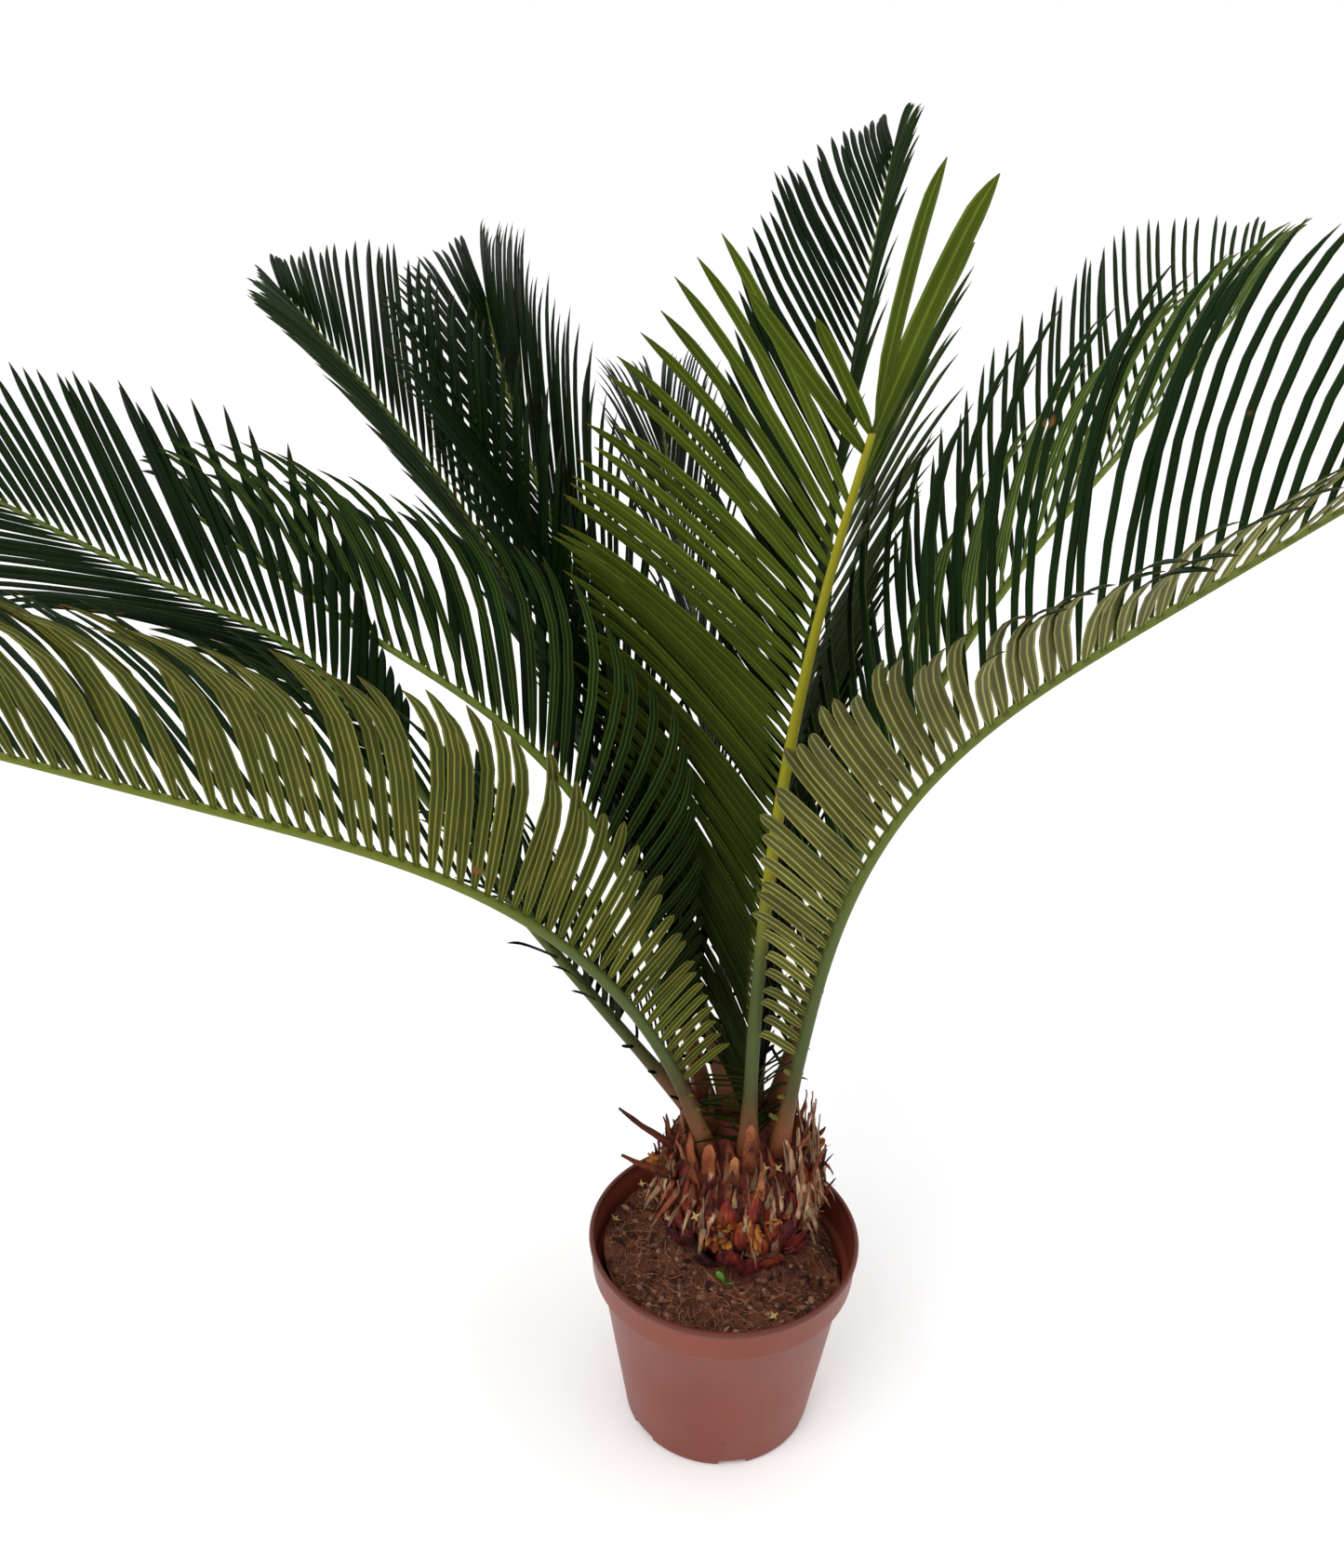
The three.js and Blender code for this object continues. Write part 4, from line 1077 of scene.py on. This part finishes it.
def leaf_material(look, upper, groove, rolled):
    """A leathery leaflet: a dark upper face with a faint midline, and a matt ribbed under face. Painted
    shade darkens the leaflets round the stem, and here and there one has a dry brown spot."""
    made, tree, shader = new_material(f"leaflet_leathery_{look}", UPPER_ROUGHNESS, 0.05)
    shader.inputs["IOR"].default_value = 1.45
    uv = add(tree, "ShaderNodeUVMap", uv_map="blade").outputs[0]
    parts = add(tree, "ShaderNodeSeparateXYZ", {0: uv})
    around, along = parts.outputs[0], parts.outputs[1]
    # Round the blade: a rolled edge, the upper face, the other edge, and the grooves and midrib below; the
    # grooves' darker colour is partly painted shade.
    stripes = add(tree, "ShaderNodeValToRGB", {0: around}, stops=(
        (0.0, rolled), (1.0, rolled), (0.02, upper), (0.48, upper), (0.5, rolled), (0.55, rolled),
        (0.6, groove), (0.71, groove), (0.75, rolled), (0.79, groove), (0.9, groove), (0.95, rolled)))
    tone = add(tree, "ShaderNodeAttribute", attribute_name="tone").outputs["Fac"]
    place = add(tree, "ShaderNodeTexCoord").outputs["Object"]
    cloud = add(tree, "ShaderNodeTexNoise", {"Vector": place, "Scale": 45.0, "Detail": 3.0})
    shade = add(tree, "ShaderNodeMath", {0: tone, 1: cloud.outputs[0]}, operation="ADD")
    light = add(tree, "ShaderNodeMapRange", {0: shade.outputs[0], 1: 0.3, 2: 1.7, 3: 0.55, 4: 1.5})
    # Painted shade: the leaflets' colour darkens towards the crown's heart.
    dark, full, inside = CROWN_PAINTED_SHADES[look]
    apart = add(tree, "ShaderNodeVectorMath", {0: place, 1: CROWN_HEART}, operation="DISTANCE")
    inner = add(tree, "ShaderNodeMapRange",
                {0: apart.outputs["Value"], 1: dark, 2: full, 3: inside, 4: 1.0})
    strength = add(tree, "ShaderNodeMath", {0: light.outputs[0], 1: inner.outputs[0]},
                   operation="MULTIPLY")
    toned = add(tree, "ShaderNodeVectorMath", {0: stripes.outputs[0], 3: strength.outputs[0]},
                operation="SCALE")
    # A leaflet's foot is yellower, and its last part and a few round spots are dry.
    foot = add(tree, "ShaderNodeMapRange", {0: along, 1: 0.0, 2: 0.05, 3: 0.6, 4: 0.0})
    footed = add(tree, "ShaderNodeMix", {0: foot.outputs[0], 6: toned.outputs[0], 7: linear(FOOT_COLOUR)},
                 data_type="RGBA")
    blot = add(tree, "ShaderNodeTexNoise", {"Vector": place, "Scale": 75.0, "Detail": 1.0})
    spot = add(tree, "ShaderNodeMapRange", {0: blot.outputs[0], 1: 0.79, 2: 0.83})
    dry = add(tree, "ShaderNodeMapRange", {0: along, 1: 0.96, 2: 1.0, 3: 0.0, 4: 0.4})
    brown = add(tree, "ShaderNodeMath", {0: spot.outputs[0], 1: dry.outputs[0]}, operation="MAXIMUM")
    dried = add(tree, "ShaderNodeMix", {0: brown.outputs[0], 6: footed.outputs[2], 7: linear(DRY_COLOUR)},
                data_type="RGBA")
    linked(tree, shader, dried.outputs[2])
    below = add(tree, "ShaderNodeMath", {0: around, 1: 0.5}, operation="GREATER_THAN")
    rough = add(tree, "ShaderNodeMapRange", {0: below.outputs[0], 3: UPPER_ROUGHNESS, 4: UNDER_ROUGHNESS})
    tree.links.new(rough.outputs[0], shader.inputs["Roughness"])
    return made


def rib_material(name, green):
    """A stalk that is woolly brown where it leaves the caudex, then grey-green, then yellow-green."""
    made, tree, shader = new_material(name, 0.5, 0.15)
    shader.inputs["IOR"].default_value = 1.45
    uv = add(tree, "ShaderNodeUVMap", uv_map="blade").outputs[0]
    along = add(tree, "ShaderNodeSeparateXYZ", {0: uv}).outputs[1]
    place = add(tree, "ShaderNodeTexCoord").outputs["Object"]
    cloud = add(tree, "ShaderNodeTexNoise", {"Vector": place, "Scale": 120.0, "Detail": 4.0})
    spread = add(tree, "ShaderNodeMapRange", {0: cloud.outputs[0], 3: -0.02, 4: 0.02})
    spot = add(tree, "ShaderNodeMath", {0: along, 1: spread.outputs[0]}, operation="ADD")
    ramp = add(tree, "ShaderNodeValToRGB", {0: spot.outputs[0]}, stops=(
        (0.0, "60321b"), (1.0, green), (0.035, "6c422a"), (0.09, "483f25"), (0.14, "454f29"),
        (0.3, "525c2e"), (0.45, green)))
    linked(tree, shader, ramp.outputs[0])
    return made


# A rib is rounder below than above.
RIB_SECTION = [(math.cos(a), math.sin(a) * (0.8 if math.sin(a) > 0 else 1.0))
               for a in np.linspace(0, math.tau, 12, endpoint=False)]
leaf_looks = {key: leaf_material(key, *codes) for key, codes in LEAF_LOOKS.items()}
rib_looks = {key: rib_material(f"stalk_fibrous_{key}", code) for key, code in RIB_LOOKS.items()}

for own in FRONDS:
    frond = {**USUAL, **own}
    frames = rib_frames(frond)
    share, points, _, across, face = frames
    leafy, first, until = frond["leafy"], frond["first"], frond["until"]
    parts = []
    pairs = round((1 - leafy) * (until - first) * frond["length"] / frond["spacing"])
    for side, row in zip((1, -1), frond["rows"]):
        # The two rows are staggered by nearly half a space.
        even = (np.arange(pairs) + (0.0 if side > 0 else 0.45)) / (pairs - 0.5)
        along = lerp(first, until, even * lerp(frond["close"], 1, even))
        lengths = leaflet_length(frond, along) * rng.normal(1, 0.03, pairs)
        widths = row.width * lerp(INNER_WIDTH, 1, smooth(along / 0.3))
        widths *= lerp(1, OUTER_WIDTH, smooth((along - 0.7) / 0.3))
        spread = lerp(*frond["angles"], along) * (1 - GATHERED * smooth((along - 0.7) / 0.3))
        spread += lerp(*row.lean, along)
        raised = frond["vee"] * (1 - FLATTENED * along) + side * frond["roll"]
        hooks = row.hook * lerp(INNER_HOOK, OUTER_HOOK, smooth(along / 0.4))
        hooks *= rng.uniform(0.5, 1.3, pairs)
        curled = (rng.uniform(0, 1, pairs) < CURLED_SHARE) & (along < 0.4)
        hooks = np.where(curled, hooks * CURL, hooks)
        tones = TONE_SPREAD * rng.uniform(0, 1, pairs) + frond["pale"] * smooth((along - 0.4) / 0.6)
        spread += rng.normal(0, 0.9, pairs)
        raised += rng.normal(0, 1.4, pairs)
        parts.append(leaflets(frames, side, lerp(leafy, 1, along), lengths, widths, spread, raised, row,
                              hooks, tones))
        low = np.linspace(*SPINE_SPAN, SPINES) * leafy + rng.uniform(-0.004, 0.004, SPINES)
        parts.append(leaflets(frames, side, low, rng.uniform(*SPINE_LENGTHS, SPINES),
                              np.full(SPINES, SPINE.width), rng.uniform(*SPINE_LEAN, SPINES),
                              np.full(SPINES, SPINE_RISE), SPINE, np.full(SPINES, SPINE.hook),
                              np.full(SPINES, 0.5)))
        if frond["comb"]:
            count, span, reach, leaning, rising, thin = frond["comb"]
            parts.append(leaflets(
                frames, side, np.linspace(*span, count), rng.uniform(*reach, count),
                np.full(count, thin.width), rng.uniform(*leaning, count), rng.uniform(*rising, count),
                thin, thin.hook * rng.uniform(0.3, 1.6, count), rng.uniform(0.6, 1, count)))
        ends = np.array([end[1:] for end in frond["ends"] if end[0] == side])
        if len(ends):
            broad = END_ROWS[side]
            parts.append(leaflets(frames, side, *ends.T, broad, np.full(len(ends), broad.hook),
                                  np.full(len(ends), 0.9)))
    width = rib_width(share) * lerp(1, frond["stout"], share)
    width = (width * (1 + FLARE * np.exp(-share / FLARE_REACH)))[None] * MM
    parts.append(skins(points[None] * MM, across[None], face[None], width, width, RIB_SECTION, share,
                       [0.5], slot=1))
    look = frond["look"]
    piece = joined(f"frond_{frond['name']}_leaflets", parts, [leaf_looks[look], rib_looks[look]])
    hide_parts(f"frond_{frond['name']}")
